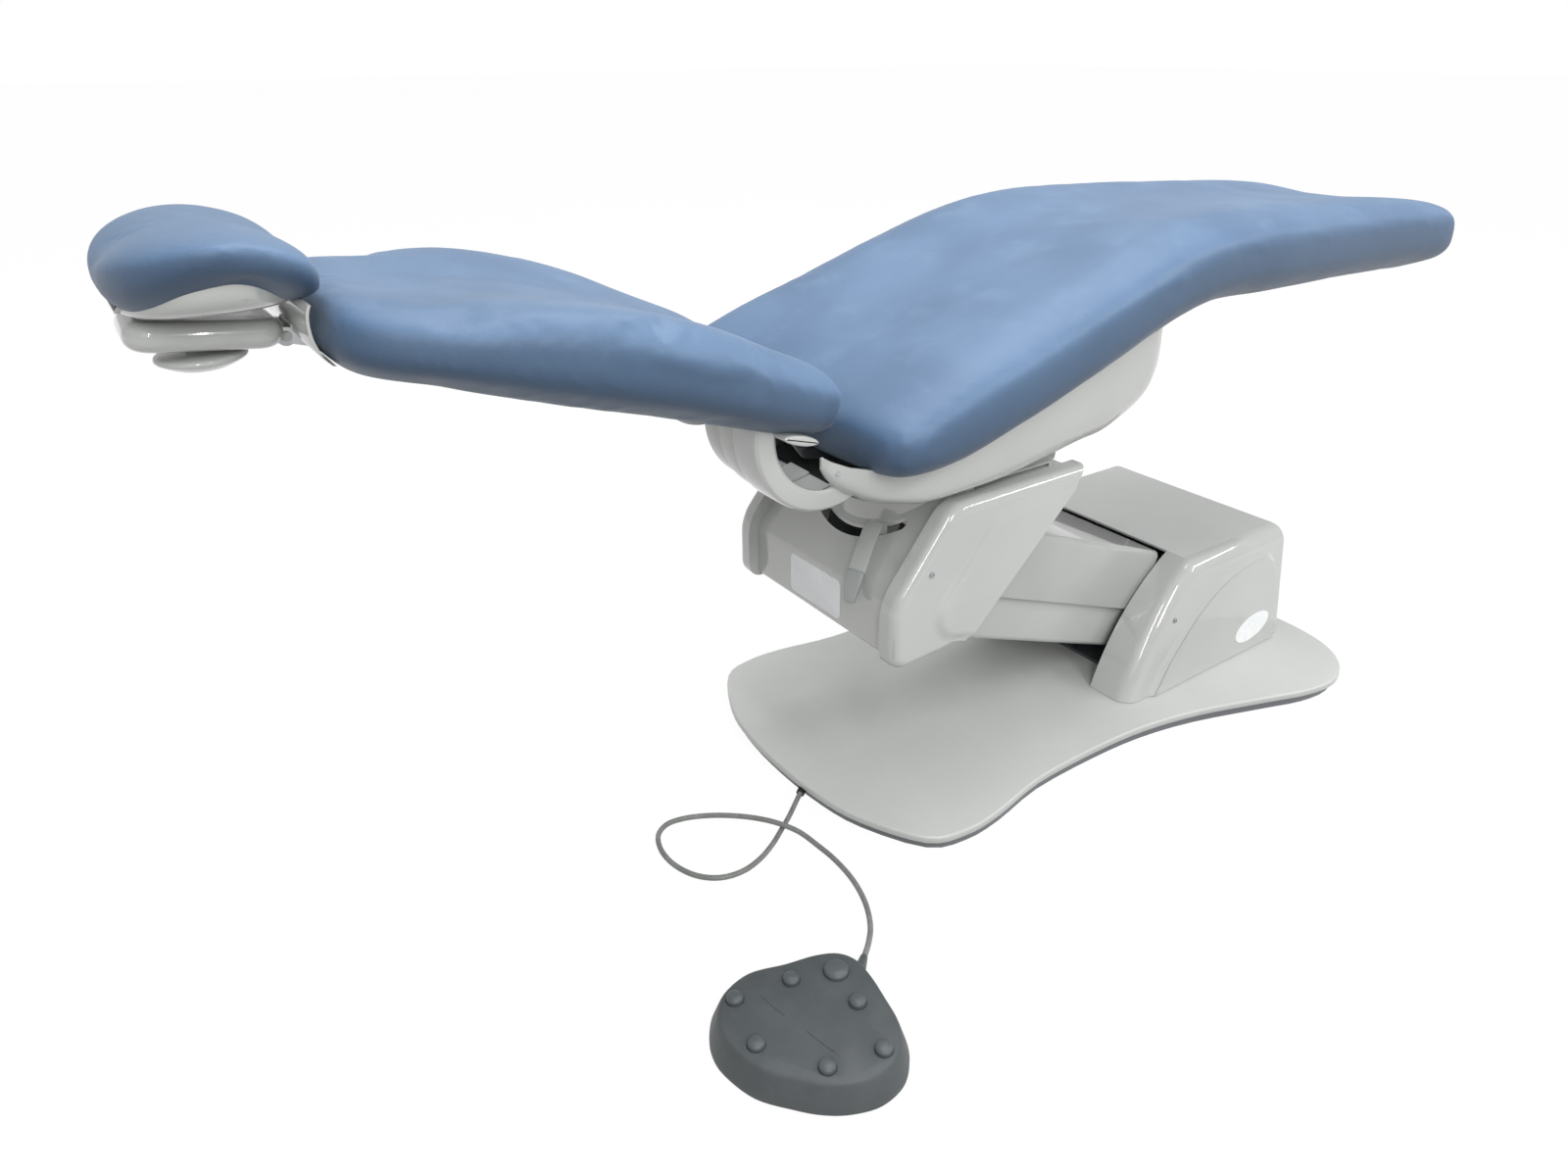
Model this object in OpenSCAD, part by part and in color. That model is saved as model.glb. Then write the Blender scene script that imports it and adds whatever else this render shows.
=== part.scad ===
/* [Base] */
// Length of the base plate, head end to foot end
plate_len = 980; // [900:5:1060]
// Width of the base plate across its wide rear lobes
plate_w = 694; // [640:2:740]
// Thickness of the painted top plate
plate_t = 10; // [8:1:14]
// Height of the skirt that the plate stands on
skirt_h = 12; // [10:1:16]
// Width of the base cover at its top
cover_w = 384; // [370:2:400]
// Height of the base cover above the floor
cover_h = 223; // [215:1:235]
// Wall of the moulded covers
cover_wall = 3; // [2:0.5:4]

/* [Lift] */
// Distance between the two pivots of each link
link_len = 560; // [550:1:566]
// Slope of the links at rest, in degrees
link_rise = 21; // [19:0.5:23]
// Radius of the four link shafts
shaft_r = 12; // [9:0.5:13]
// Width of the upper arm cover
arm_w = 250; // [236:2:256]
// Running clearance of every shaft in its bore
run_fit = 0.05; // [0.02:0.01:0.1]

/* [Seat] */
// Length of the seat and leg cushion
seat_len = 1282; // [1240:2:1320]
// Rise of the cushion from its lowest underside to its crest
seat_rise = 230; // [220:1:240]
// Widest part of the seat and leg cushion
seat_w = 512; // [490:2:530]
// Depth of the dish along the middle of the seat
seat_dish = 14; // [6:1:20]
// Width of the seat pan
pan_w = 400; // [392:2:410]

/* [Back] */
// Length of the back cushion along its slope
back_len = 526; // [510:2:530]
// Widest part of the back cushion, at the wings
back_w = 480; // [450:2:500]
// Height of the wings above the back frame
back_h = 86; // [80:1:92]
// Depth of the hollow between the wings
back_dish = 30; // [15:1:34]
// Slope of the back at rest, in degrees
back_rise = 17; // [15:0.5:19]
// Outer radius of the round hinge covers
hinge_cover_r = 101; // [96:1:104]

/* [Headrest] */
// Length of the headrest cushion
head_len = 172; // [160:1:174]
// Width of the headrest cushion
head_w = 280; // [260:2:300]
// Height of the headrest cushion
head_h = 84; // [76:1:88]
// Diameter of the locking knob
knob_d = 78; // [70:1:84]

/* [Foot control] */
// Half the length and half the width of the foot control
pod_half = 100; // [92:1:108]
// Height of the foot control without its buttons
pod_h = 38; // [34:1:42]
// Radius of the small buttons
button_r = 9.5; // [8:0.5:10]
// Radius of the large button
big_button_r = 14; // [12:0.5:15]
// Diameter of the cord
cord_d = 7; // [6.6:0.1:7.4]

/* [Hidden] */
$fn = 48;

// Overrun of every cut past the face that it starts from
cut = 1;
// Gap between a soft piece and what carries it
seat_gap = 0.3;
// Gap beside a moving plate
side_gap = 2;

// Base plate and skirt
plate_top = skirt_h + 2 + plate_t;
groove_h = 2;
groove_in = 14;
skirt_in = 8;
plate_half_shares = [
    [-1, 0], [-0.99, 0.25], [-0.955, 0.46], [-0.86, 0.7], [-0.75, 0.757], [-0.62, 0.75],
    [-0.42, 0.7], [-0.17, 0.697], [0.04, 0.72], [0.25, 0.784], [0.49, 0.9], [0.65, 0.978],
    [0.78, 0.995], [0.89, 0.93], [0.965, 0.8], [1, 0.6], [1.003, 0.3], [1.003, 0]
];

// Base cover
cover_rear = 440;
cover_front = 37;
cover_open_x = 194;
cover_open_half = 133;
cover_flare = 14;
cover_edge_r = 30;
cover_bulge_shares = [0.285, 0.64];
panel_half = cover_w / 2;
cover_screw_r = 4;
cover_screw_x = 146;
cover_screw_z = 140;
screw_head = 2;
screw_proud = 2.6;

// Pivots of the lift
pivot_low = [200, 80];
pivot_high = [235, 175];
lift_dir = [-cos(link_rise), sin(link_rise)];
// Place of the lower head pivot that the head, the seat and the back are drawn at
head_lower = [-322.805, 280.686];
head_upper = head_lower + pivot_high - pivot_low;
lift_shift = pivot_low + link_len * lift_dir - head_lower;
cheek_in = 78;
cheek_t = 8;
link_out = cheek_in - side_gap;
link_t = 8;
link_h = 40;
hub_r = 20;
frame_t = 6;
arm_half = arm_w / 2;
arm_lap = 8;
arm_wall = 2.5;
arm_start = 75;
arm_end = link_len - arm_start;
upper_arm_top = 26;
upper_arm_low = -76;
lower_arm_top = 45;
lower_arm_low = -45;
arm_floor_start = 135;
lower_arm_start = 60;
strap_half = 8;
strap_w = 12;
strap_in = 40;
strap_end = 60;

// Lift actuator
motor_at = [150, 50];
rod_at_s = 330;
rod_at_p = -25;
rod_eye = pivot_high + rod_at_s * lift_dir + rod_at_p * [sin(link_rise), cos(link_rise)];
lift_vec = rod_eye - motor_at;
lift_span = norm(lift_vec);
lift_tilt = atan2(lift_vec[1], -lift_vec[0]);
tube_r = 20;
tube_len = 185;
rod_r = 11;
rod_low = 60;
pin_r = 7;
motor_boss_r = 15;
yoke_t = 4;
yoke_gap = 6;
lug_half = 6;
fork_in = 9;
fork_t = 6;
lug_hole_r = 24;
lug_r = 32;

// Head housing
head_front_x = -419;
head_half = 146;
head_low_z = 247;
head_crease_z = 329;
head_top_z = 452;
head_slope_share = 1.09;
head_slope_end_x = head_front_x + (head_top_z - head_crease_z) / head_slope_share;
head_rear_x = -104;
head_foot = 34;
head_toe = 9;
head_plate_rear = 105;
side_cover_in = head_half + seat_gap;
side_cover_t = 34;
side_cover_low = [-435, 242];
side_cover_size = [360, 214];
side_cover_shares = [
    [0.0056, 0.1262], [0.0778, 0.0421], [0.175, 0], [0.375, 0.0374], [0.5111, 0.257], [1, 0.9346],
    [0.975, 0.986], [0.9194, 1], [0.2778, 0.9907], [0.2333, 0.9252], [0.1167, 0.6869], [0, 0.4673]
];
side_cover_pts = [for (p = side_cover_shares)
    side_cover_low + [p[0] * side_cover_size[0], p[1] * side_cover_size[1]]];
swivel_x = -200;
top_plate_t = 10;
top_plate_z = 436;
spindle_r = 45;
bearing_r = 75;
bearing_top = 460;
turret_r = 165;
turret_top = 459;
skirt_run = 60;
skirt_rear_x = swivel_x + 2 * turret_r;
lever_w = 25;
lever_t = 4;
lever_turn = 21;
lever_boss_r = 58;
lever_boss_h = 30;
lever_hub_r = 80;
lever_hub_z = 412;
slot_r = 178;
slot_half = 6;
slot_from = -20;
slot_to = 32;
lever_drop = 115;
lever_path_shares = [
    [0.3933, 0], [0.6629, 0], [0.8876, 0.4522], [1, 0.4522], [1, 0.0957], [1.0674, 0.1217],
    [1.4045, 0.5826], [1.4831, 1]
];
lever_path = [for (p = lever_path_shares) [slot_r * p[0], lever_hub_z - lever_drop * p[1]]];

// Seat, in stations from its rear edge
seat_rear_x = -505;
seat_low_z = 547;
seat_station_shares = [
    [0, 0.1, 0.15, 0.76], [0.006, 0.05, 0.2, 0.87], [0.02, 0.015, 0.255, 0.94],
    [0.051, 0, 0.34, 0.98], [0.09, 0.015, 0.43, 0.996], [0.137, 0.078, 0.515, 1],
    [0.191, 0.165, 0.612, 1], [0.246, 0.265, 0.713, 1], [0.3, 0.365, 0.805, 0.996],
    [0.355, 0.465, 0.895, 0.988], [0.402, 0.53, 0.952, 0.977], [0.449, 0.575, 0.987, 0.965],
    [0.503, 0.575, 1, 0.949], [0.566, 0.552, 0.991, 0.934], [0.644, 0.535, 0.974, 0.91],
    [0.722, 0.517, 0.948, 0.887], [0.8, 0.496, 0.922, 0.863], [0.878, 0.474, 0.891, 0.84],
    [0.94, 0.46, 0.87, 0.824], [0.972, 0.462, 0.848, 0.812], [0.988, 0.478, 0.82, 0.793],
    [0.996, 0.515, 0.776, 0.755], [1, 0.575, 0.72, 0.69]
];
board_t = 10;
board_share = 0.8;
board_first = 4;
board_last = 19;

// Seat pan, in stations of length, height and half width
pan_rear_x = -559;
pan_len = 562;
pan_low_z = 463;
pan_rise = 109;
function pan_place(p) = [pan_rear_x + pan_len * p[0], pan_low_z + pan_rise * p[1]];
pan_station_shares = [
    [0, 1, 0.94], [0.0178, 0.789, 0.97], [0.0641, 0.596, 0.99], [0.1441, 0.367, 1], [0.2544, 0.1835, 1],
    [0.3025, 0.1284, 1], [0.3861, 0.0275, 1], [0.5587, 0, 1], [0.7722, 0.1468, 1], [0.8612, 0.2202, 1],
    [0.9626, 0.5046, 0.97], [1, 0.7523, 0.93]
];
pan_rim_shares = [[0, 1.165], [0.0178, 1.11], [0.0641, 0.982], [0.1441, 0.7615]];
pan_half = pan_w / 2;
pan_wall = 4;

// Recline hinge
hinge = [-541, 603];
hinge_shaft_r = 9;
hinge_boss_r = 18;
hinge_half = 98;
cover_ring_wall = 5;
cover_ring_in = hinge_cover_r - 27;
ring_near = 181;
ring_far = 92;
back_dir = [-cos(back_rise), sin(back_rise)];

// Back cushion stations: place, underside, wing height, half width
back_start = 10;
back_lift = 8;
back_station_shares = [
    [0, 0.3, 0.46, 0.8], [0.01, 0.15, 0.6, 0.85], [0.032, 0.07, 0.72, 0.89],
    [0.066, 0.04, 0.79, 0.92], [0.125, 0.04, 0.82, 0.945], [0.215, 0.04, 0.89, 0.97],
    [0.32, 0.04, 0.975, 0.99], [0.43, 0.04, 1, 1], [0.54, 0.04, 0.99, 0.99],
    [0.645, 0.04, 0.92, 0.96], [0.75, 0.04, 0.76, 0.9], [0.84, 0.04, 0.62, 0.83],
    [0.91, 0.05, 0.55, 0.75], [0.957, 0.08, 0.49, 0.69], [0.985, 0.14, 0.43, 0.62],
    [1, 0.22, 0.34, 0.54]
];
back_rest_h = 3;
shell_len = back_len - back_start + 4 * seat_gap + 2 * side_gap - 1.2 * cut;
shell_w = 380;
shell_depth = 36;
shell_station_shares = [
    [0, 0.3, 0.88], [0.03, 0.68, 0.95], [0.1, 0.95, 1], [0.2, 1, 1], [0.35, 0.88, 0.98],
    [0.5, 0.76, 0.94], [0.65, 0.64, 0.87], [0.8, 0.56, 0.77], [0.9, 0.52, 0.68],
    [0.98, 0.45, 0.57], [1, 0.36, 0.5]
];
shell_start = -10;
back_plate_t = 5;
back_plate_half = 98;
back_plate_from = 30;
back_plate_to = 488;
back_arm_in = 14;
back_arm_y = 88;
back_arm_t = 8;
back_tie_half = 50;
back_lug_neck = 10;

// Back actuator
back_motor_at = [-275, 492];
back_lug = [22, -68];
back_eye = hinge + back_lug;
back_vec = back_eye - back_motor_at;
back_span = norm(back_vec);
back_tilt = atan2(back_vec[1], -back_vec[0]);
back_tube_r = 14;
back_tube_len = 150;
back_rod_r = 8;
back_pin_r = 6;
back_lug_half = 5;
back_ear_t = 6;
back_rod_in = 42;
back_bore_in = 22;
back_boss_r = 12;
back_yoke_gap = 10;
back_yoke_t = 4;
back_fork_in = 8;
back_fork_t = 6;
back_lug_hole_r = 14;
back_lug_r = 18;

// Headrest
bar_w = 50;
bar_t = 8;
bar_h = -7;
bar_from = 250;
bar_to = back_start + back_len + back_start;
guide_from = 305;
guide_to = 400;
guide_wall = 6;
box_tilt = 6.4;
rest_rise = 44;
rest_reach = 152;
rest_eye_back = 109;
rest_eye_rise = 14;
knob_back = 70;
knob_drop = 12;
box_len = 112;
box_h = 27;
box_w = 100;
box_eye_in = 3.7;
box_eye_drop = 4.76;
box_pivot = hinge + (bar_to - box_eye_in) * back_dir - box_eye_drop * [sin(back_rise), cos(back_rise)];
box_start = 10;
box_nose_r = 30;
box_tail_r = 20;
box_pin_r = 5;
box_eye_r = 9;
tongue_half = 18;
tongue_t = 16;
rest_eye_r = 12;
rest_eye_half = 13.5;
rest_foot_half = 10;
rest_low = box_pivot[1] + rest_rise;
rest_tip_x = box_pivot[0] - rest_reach;
rest_pivot = box_pivot + [-rest_eye_back, rest_eye_rise];
rest_station_shares = [
    [0, 0.25, 0.49, 0.72], [0.03, 0.13, 0.65, 0.85], [0.1, 0.03, 0.81, 0.94],
    [0.21, 0, 0.91, 0.985], [0.35, 0.02, 0.98, 1], [0.48, 0.04, 0.98, 1],
    [0.62, 0.03, 0.92, 0.985], [0.76, 0, 0.78, 0.95], [0.87, 0, 0.6, 0.9],
    [0.95, 0.03, 0.43, 0.82], [1, 0.1, 0.32, 0.71]
];
rest_dish = 10;
rest_shell_t = 12;
knob_at = [box_pivot[0] - knob_back, 0];
knob_h = 15;
knob_shares = [
    [0, 0.267], [0.308, 0.267], [0.308, -0.133], [0.872, -0.267], [1, -0.533], [0.949, -0.8],
    [0.744, -1], [0, -1]
];
knob_top = box_pivot[1] - knob_drop;

// Foot control
pod_at = [-722, -395];
pod_lift = 3;
pod_wall = 3;
pod_outline_shares = [
    [-0.63, 0.91], [-0.86, 0.69], [-0.97, 0.45], [-0.98, 0.18], [-0.87, -0.21],
    [-0.62, -0.54], [-0.41, -0.76], [-0.17, -0.92], [0.13, -1.02], [0.45, -0.98],
    [0.68, -0.81], [0.82, -0.57], [0.9, -0.25], [0.97, 0.1], [0.98, 0.39],
    [0.86, 0.61], [0.6, 0.75], [0.22, 0.85], [-0.23, 0.99]
];
pod_ring_shares = [
    [0, 1], [0.2, 1], [0.75, 0.935], [0.93, 0.91], [1, 0.87]
];
small_button_shares = [
    [-0.54, 0.67], [0.11, 0.53], [0.52, -0.13], [-0.67, 0.06], [-0.23, -0.58], [0.37, -0.75]
];
big_button_share = [0.59, 0.34];
button_gap = 0.5;
button_drop = 10;
button_rest = 2.4;
button_crown = 5;
pod_board_z = 24;
pod_board_t = 2;
pod_foot_r = 8;
pod_post_r = 3;

// Cord, from the gland over the floor into the foot control
cord_r = cord_d / 2;
cord_points = [
    [-492, -57, 8], [-504, -65, 6.5], [-528, -82, 3.8], [-552, -98, 3.6], [-580, -116, 3.6],
    [-610, -130, 3.6], [-641, -136, 3.6], [-671, -129, 3.6], [-694, -108, 3.6],
    [-707, -76, 3.6], [-708, -42, 3.6], [-697, -13, 3.6], [-676, 0, 3.6], [-652, -3, 3.8],
    [-628, -15, 5], [-606, -33, 7.5], [-584, -56, 10], [-566, -79, 11.3], [-553, -100, 11.3],
    [-541, -124, 9], [-534, -154, 5], [-531, -190, 3.7], [-535, -232, 3.6], [-547, -271, 3.6],
    [-566, -304, 4.6], [-588, -327, 7.4], [-607, -342, 10]
];
cord_steps = 3;
cord_sides = 8;
gland_len = 12;
relief_len = 22;
gland_wall = 2.5;
relief_tip_wall = 1;
relief_wall = 3.5;

// Smooth curve through the points of a list
function at(list, i, closed) =
    closed ? list[(i + 2 * len(list)) % len(list)] : list[max(0, min(len(list) - 1, i))];
function blend(a, b, c, d, t) =
    0.5 * (2 * b + (c - a) * t + (2 * a - 5 * b + 4 * c - d) * t * t
        + (3 * b - a - 3 * c + d) * t * t * t);
function curve(list, steps, closed = false) = concat(
    [for (i = [0 : len(list) - (closed ? 1 : 2)], k = [0 : steps - 1])
        blend(at(list, i - 1, closed), at(list, i, closed), at(list, i + 1, closed),
            at(list, i + 2, closed), k / steps)],
    closed ? [] : [list[len(list) - 1]]
);
function bow(a, b, c, steps) = [for (k = [0 : steps]) let (t = k / steps)
    (1 - t) * (1 - t) * a + 2 * t * (1 - t) * b + t * t * c];
// Value at x of a list of [x, value] pairs
function step_of(list, x, i = 0) =
    i >= len(list) - 2 || list[i + 1][0] >= x ? i : step_of(list, x, i + 1);
function value_at(list, x) = let (
    i = step_of(list, x), a = list[i], b = list[i + 1],
    t = max(0, min(1, (x - a[0]) / (b[0] - a[0])))
) a[1] + t * (b[1] - a[1]);
function power(v, e) = sign(v) * pow(abs(v), e);
// Closed ring of a padded section across the width, with a dish along its middle
function pad_ring(x, low, high, half, dish, lift, sides) = [for (k = [0 : sides - 1]) let (
    a = 360 * (k + 0.5) / sides,
    y = half * power(cos(a), 0.62),
    m = (low + high) / 2,
    w = y / half,
    z = m + (high - low) / 2 * power(sin(a), 0.7)
) [x, y, z - (a < 180 ? dish * (1 - w * w) * (1 - w * w) : 0) + (a > 180 ? lift * pow(w, 4) : 0)]];
// Half ring open at its top, for trays and shells
function tray_ring(x, low, high, half, sides) = concat(
    [for (k = [0 : sides]) let (a = 180 + 180 * k / sides)
        [x, half * power(cos(a), 0.45), high + (high - low) * power(sin(a), 0.6)]]
);
// Solid through a list of rings that have as many points each
module loft(rings) {
    n = len(rings[0]);
    last = len(rings) - 1;
    polyhedron(
        points = [for (r = rings, p = r) p],
        faces = concat(
            [[for (k = [0 : n - 1]) k]],
            [for (j = [0 : last - 1], k = [0 : n - 1]) let (q = (k + 1) % n)
                [j * n + k, (j + 1) * n + k, (j + 1) * n + q]],
            [for (j = [0 : last - 1], k = [0 : n - 1]) let (q = (k + 1) % n)
                [j * n + k, (j + 1) * n + q, j * n + q]],
            [[for (k = [n - 1 : -1 : 0]) last * n + k]]
        ),
        convexity = 4
    );
}
// Plate in the X and Z plane, from y = from, t thick
module side_plate(points, from, t) {
    translate([0, from + t, 0]) rotate([90, 0, 0]) linear_extrude(t) polygon(points);
}
// What the two links carry moves with their head ends
module carried() translate([lift_shift[0], 0, lift_shift[1]]) children();
module both_sides() {
    children();
    mirror([0, 1, 0]) children();
}
// Round bar along Y, centred on the middle plane
module cross_bar(at, r, half) {
    translate([at[0], half, at[1]]) rotate([90, 0, 0]) cylinder(r = r, h = 2 * half);
}
// Frame whose X runs along a link from its base pivot and whose Z is square to it
module on_link(pivot) {
    translate([pivot[0], 0, pivot[1]]) rotate([0, link_rise, 0]) mirror([1, 0, 0]) children();
}
// Frame whose X runs up the back from the hinge and whose Z is square to it
module on_back() {
    translate([hinge[0], 0, hinge[1]]) rotate([0, back_rise, 0]) mirror([1, 0, 0]) children();
}
module block(from, to) {
    translate(from) cube(to - from);
}

function plate_outline(inset) = let (
    half_points = [for (p = plate_half_shares)
        [p[0] * (plate_len / 2 - inset), -p[1] * (plate_w / 2 - inset)]],
    other = [for (i = [len(half_points) - 2 : -1 : 1]) [half_points[i][0], -half_points[i][1]]]
) curve(concat(half_points, other), 3, true);

module base_plate() color([0.68, 0.69, 0.67]) {
    translate([0, 0, plate_top - plate_t]) linear_extrude(plate_t) polygon(plate_outline(0));
    translate([0, 0, skirt_h]) linear_extrude(groove_h) polygon(plate_outline(groove_in));
}
module base_skirt() color([0.45, 0.46, 0.47]) {
    linear_extrude(skirt_h) polygon(plate_outline(skirt_in));
}

cheek_x0 = pivot_low[0] - 2 * hub_r;
cheek_x1 = pivot_high[0] + 5 * hub_r;
frame_foot = plate_top + frame_t;
base_cheek = [
    [cheek_x0, frame_foot], [cheek_x1, frame_foot], [pivot_high[0] + 2 * hub_r, pivot_high[1]],
    [pivot_high[0] + hub_r, pivot_high[1] + 1.4 * hub_r],
    [pivot_high[0] - hub_r, pivot_high[1] + 1.4 * hub_r],
    [pivot_high[0] - 2 * hub_r, pivot_high[1]], [cheek_x0, pivot_low[1] + hub_r]
];
module base_frame() color([0.3, 0.31, 0.33]) {
    difference() {
        union() {
            block([pivot_low[0] - 5 * hub_r, -cheek_in - 2 * cheek_t, plate_top],
                [cheek_x1 + hub_r, cheek_in + 2 * cheek_t, frame_foot]);
            both_sides() side_plate(base_cheek, cheek_in, cheek_t);
        }
        cross_bar(pivot_low, shaft_r, cheek_in + 2 * cheek_t);
        cross_bar(pivot_high, shaft_r, cheek_in + 2 * cheek_t);
    }
}
module link_shaft(at) color([0.75, 0.76, 0.78]) {
    cross_bar(at, shaft_r, cheek_in + cheek_t);
    both_sides() translate([0, cheek_in + cheek_t, 0]) translate([at[0], 0, at[1]])
        rotate([-90, 0, 0]) cylinder(r = shaft_r + cheek_t / 2, h = cheek_t / 2);
}

function cover_front_curve(in) = let (
    a = [cover_front + in, plate_top],
    c = [cover_open_x + in / 2, cover_h - in]
) bow(a, [a[0] + (c[0] - a[0]) * cover_bulge_shares[0],
    a[1] + (c[1] - a[1]) * cover_bulge_shares[1]], c, 8);
// Closed block with the outer form of the base cover, drawn in by a wall
module cover_block(in) {
    half = panel_half - in;
    flare = cover_flare;
    r = cover_edge_r - in;
    intersection() {
        side_plate(concat(cover_front_curve(in), [[cover_rear - in, cover_h - in],
            [cover_rear - in, plate_top]]), -cover_w, 2 * cover_w);
        translate([cover_front - cover_w / 2, 0, 0]) rotate([90, 0, 90]) linear_extrude(2 * cover_rear)
            polygon(concat(
                [[-half - flare, plate_top], [half + flare, plate_top]],
                [for (a = [0 : 15 : 90]) [half - r + r * cos(a), cover_h - in - r + r * sin(a)]],
                [for (a = [90 : 15 : 180]) [-half + r + r * cos(a), cover_h - in - r + r * sin(a)]]
            ));
    }
}
module base_cover() color([0.72, 0.73, 0.71]) {
    difference() {
        cover_block(0);
        translate([0, 0, -cut]) cover_inner();
        block([cover_front - cover_w, -cover_open_half, plate_top - cut],
            [cover_open_x, cover_open_half, cover_h + cut]);
        inlet_block(-2 * cover_wall, cut, inlet_wall + seat_gap);
        both_sides() translate([cover_screw_x, panel_half, cover_screw_z]) rotate([90, 0, 0])
            cylinder(r = cover_screw_r / 2, h = cover_wall * 4, center = true);
    }
}
module cover_inner() {
    cover_block(cover_wall);
    block([cover_front + 4 * cover_wall, -panel_half, plate_top - cut],
        [cover_rear - cover_wall, panel_half, plate_top + 2 * cut]);
}
function cover_side(z) = panel_half
    + cover_flare * (cover_h - cover_edge_r - z) / (cover_h - cover_edge_r - plate_top);
module base_cover_screws() color([0.8, 0.8, 0.82]) {
    both_sides() translate([cover_screw_x, cover_side(cover_screw_z) + screw_proud, cover_screw_z])
        rotate([90, 0, 0]) cylinder(r = cover_screw_r, h = screw_head);
}

psu_size = [80, 78, 64];
psu_y = 100;
psu_in = 10;
box_size = [125, 74, 36];
box_y = -178;
box_in = 15;
inlet_y = 130;
inlet_z = 130;
inlet_w = 28;
inlet_h = 20;
inlet_wall = 2;
inlet_lip = 4;
inlet_proud = 3;
inlet_deep = 18;
module on_floor_at(from, size) translate(concat(from, [plate_top])) cube(size);
module power_supply() color([0.55, 0.57, 0.58])
    on_floor_at([cover_rear - psu_in - psu_size[0], psu_y], psu_size);
module control_box() color([0.2, 0.22, 0.24])
    on_floor_at([cover_rear - box_in - box_size[0], box_y], box_size);
// Block across the rear wall at the power inlet, wider than its mouth by a wall
module inlet_block(from, to, wall) block(
    [cover_rear + from, inlet_y - inlet_w / 2 - wall, inlet_z - inlet_h / 2 - wall],
    [cover_rear + to, inlet_y + inlet_w / 2 + wall, inlet_z + inlet_h / 2 + wall]);
module power_inlet() color([0.12, 0.12, 0.13]) {
    difference() {
        union() {
            inlet_block(seat_gap, inlet_proud, inlet_lip);
            inlet_block(-inlet_deep, inlet_proud / 2, inlet_wall);
        }
        inlet_block(-inlet_deep + inlet_wall, inlet_proud + cut, 0);
    }
}
module lift_motor_bracket() color([0.3, 0.31, 0.33]) {
    both_sides() difference() {
        side_plate([[motor_at[0] - 2.2 * hub_r, frame_foot], [motor_at[0] + hub_r, frame_foot],
            [motor_at[0] + hub_r * 0.6, motor_at[1] + 0.5 * hub_r],
            [motor_at[0] - hub_r * 0.6, motor_at[1] + 0.5 * hub_r]], tube_r + side_gap, cheek_t);
        cross_bar(motor_at, pin_r, tube_r + 4 * cheek_t);
    }
}

// Ring of a round section square to a direction
function cord_ring(p, d, r, sides) = let (
    u = d / norm(d),
    s = cross([0, 0, 1], u) / norm(cross([0, 0, 1], u)),
    v = cross(u, s)
) [for (k = [0 : sides - 1]) let (a = 360 * (k + 0.5) / sides) p + r * cos(a) * s + r * sin(a) * v];
cord_line = curve(cord_points, cord_steps);
module cord() color([0.48, 0.49, 0.48]) {
    last = len(cord_line) - 1;
    loft([for (i = [0 : last]) cord_ring(cord_line[i],
        cord_line[min(last, i + 1)] - cord_line[max(0, i - 1)], cord_r, cord_sides)]);
}
// Round piece from one end of the cord along its line
module cord_end(p, d, r0, r1, len) {
    u = d / norm(d);
    translate(p) rotate([0, acos(u[2]), atan2(u[1], u[0])]) cylinder(r1 = r0, r2 = r1, h = len);
}
module cord_gland() color([0.2, 0.21, 0.22]) {
    difference() {
        cord_end(cord_points[0], cord_points[0] - cord_points[1], cord_r + gland_wall, cord_r + gland_wall,
            gland_len);
        block([cord_points[0][0], -plate_w, plate_top - plate_t - cut], [plate_len, plate_w, plate_top]);
        linear_extrude(skirt_h) polygon(plate_outline(skirt_in));
        linear_extrude(plate_top) polygon(plate_outline(groove_in));
    }
}
cord_last = cord_points[len(cord_points) - 1];
cord_run = cord_last - cord_points[len(cord_points) - 2];
module pod_strain_relief() color([0.25, 0.27, 0.28]) {
    cord_end(cord_last, cord_run, cord_r + relief_tip_wall, cord_r + relief_wall, relief_len);
}

function pod_ring(z, share, in) = let (
    line = curve([for (p = pod_outline_shares) pod_at + pod_half * share * p], 2, true),
    k = (pod_half * share - in) / (pod_half * share)
) [for (p = line) let (q = pod_at + k * (p - pod_at)) [q[0], q[1], z]];
module pod_solid(in) {
    loft([for (r = pod_ring_shares) pod_ring(pod_lift + (r[0] * (pod_h - pod_lift) - (r[0] > 0 ? in : 0)),
        r[1], in)]);
}
function button_at(share) = pod_at + pod_half * share;
module pod_shell() color([0.33, 0.36, 0.37]) {
    difference() {
        pod_solid(0);
        translate([0, 0, -cut]) loft([for (r = pod_ring_shares)
            pod_ring(pod_lift + r[0] * (pod_h - pod_lift - pod_wall + cut), r[1], pod_wall)]);
        for (s = small_button_shares) translate(concat(button_at(s), [pod_h - button_drop]))
            cylinder(r = button_r + button_gap, h = 2 * button_drop);
        translate(concat(button_at(big_button_share), [pod_h - button_drop]))
            cylinder(r = big_button_r + button_gap, h = 2 * button_drop);
    }
}
module pod_base() color([0.2, 0.21, 0.22]) {
    translate([0, 0, pod_lift]) linear_extrude(pod_wall)
        polygon([for (p = pod_ring(0, 1, pod_wall + seat_gap)) [p[0], p[1]]]);
}
module pod_feet() color([0.1, 0.1, 0.1]) {
    for (s = [[-0.55, 0.55], [0.55, 0.4], [0.4, -0.6], [-0.45, -0.35]])
        translate(concat(pod_at + pod_half * s, [0])) cylinder(r = pod_foot_r, h = pod_lift);
}
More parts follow.
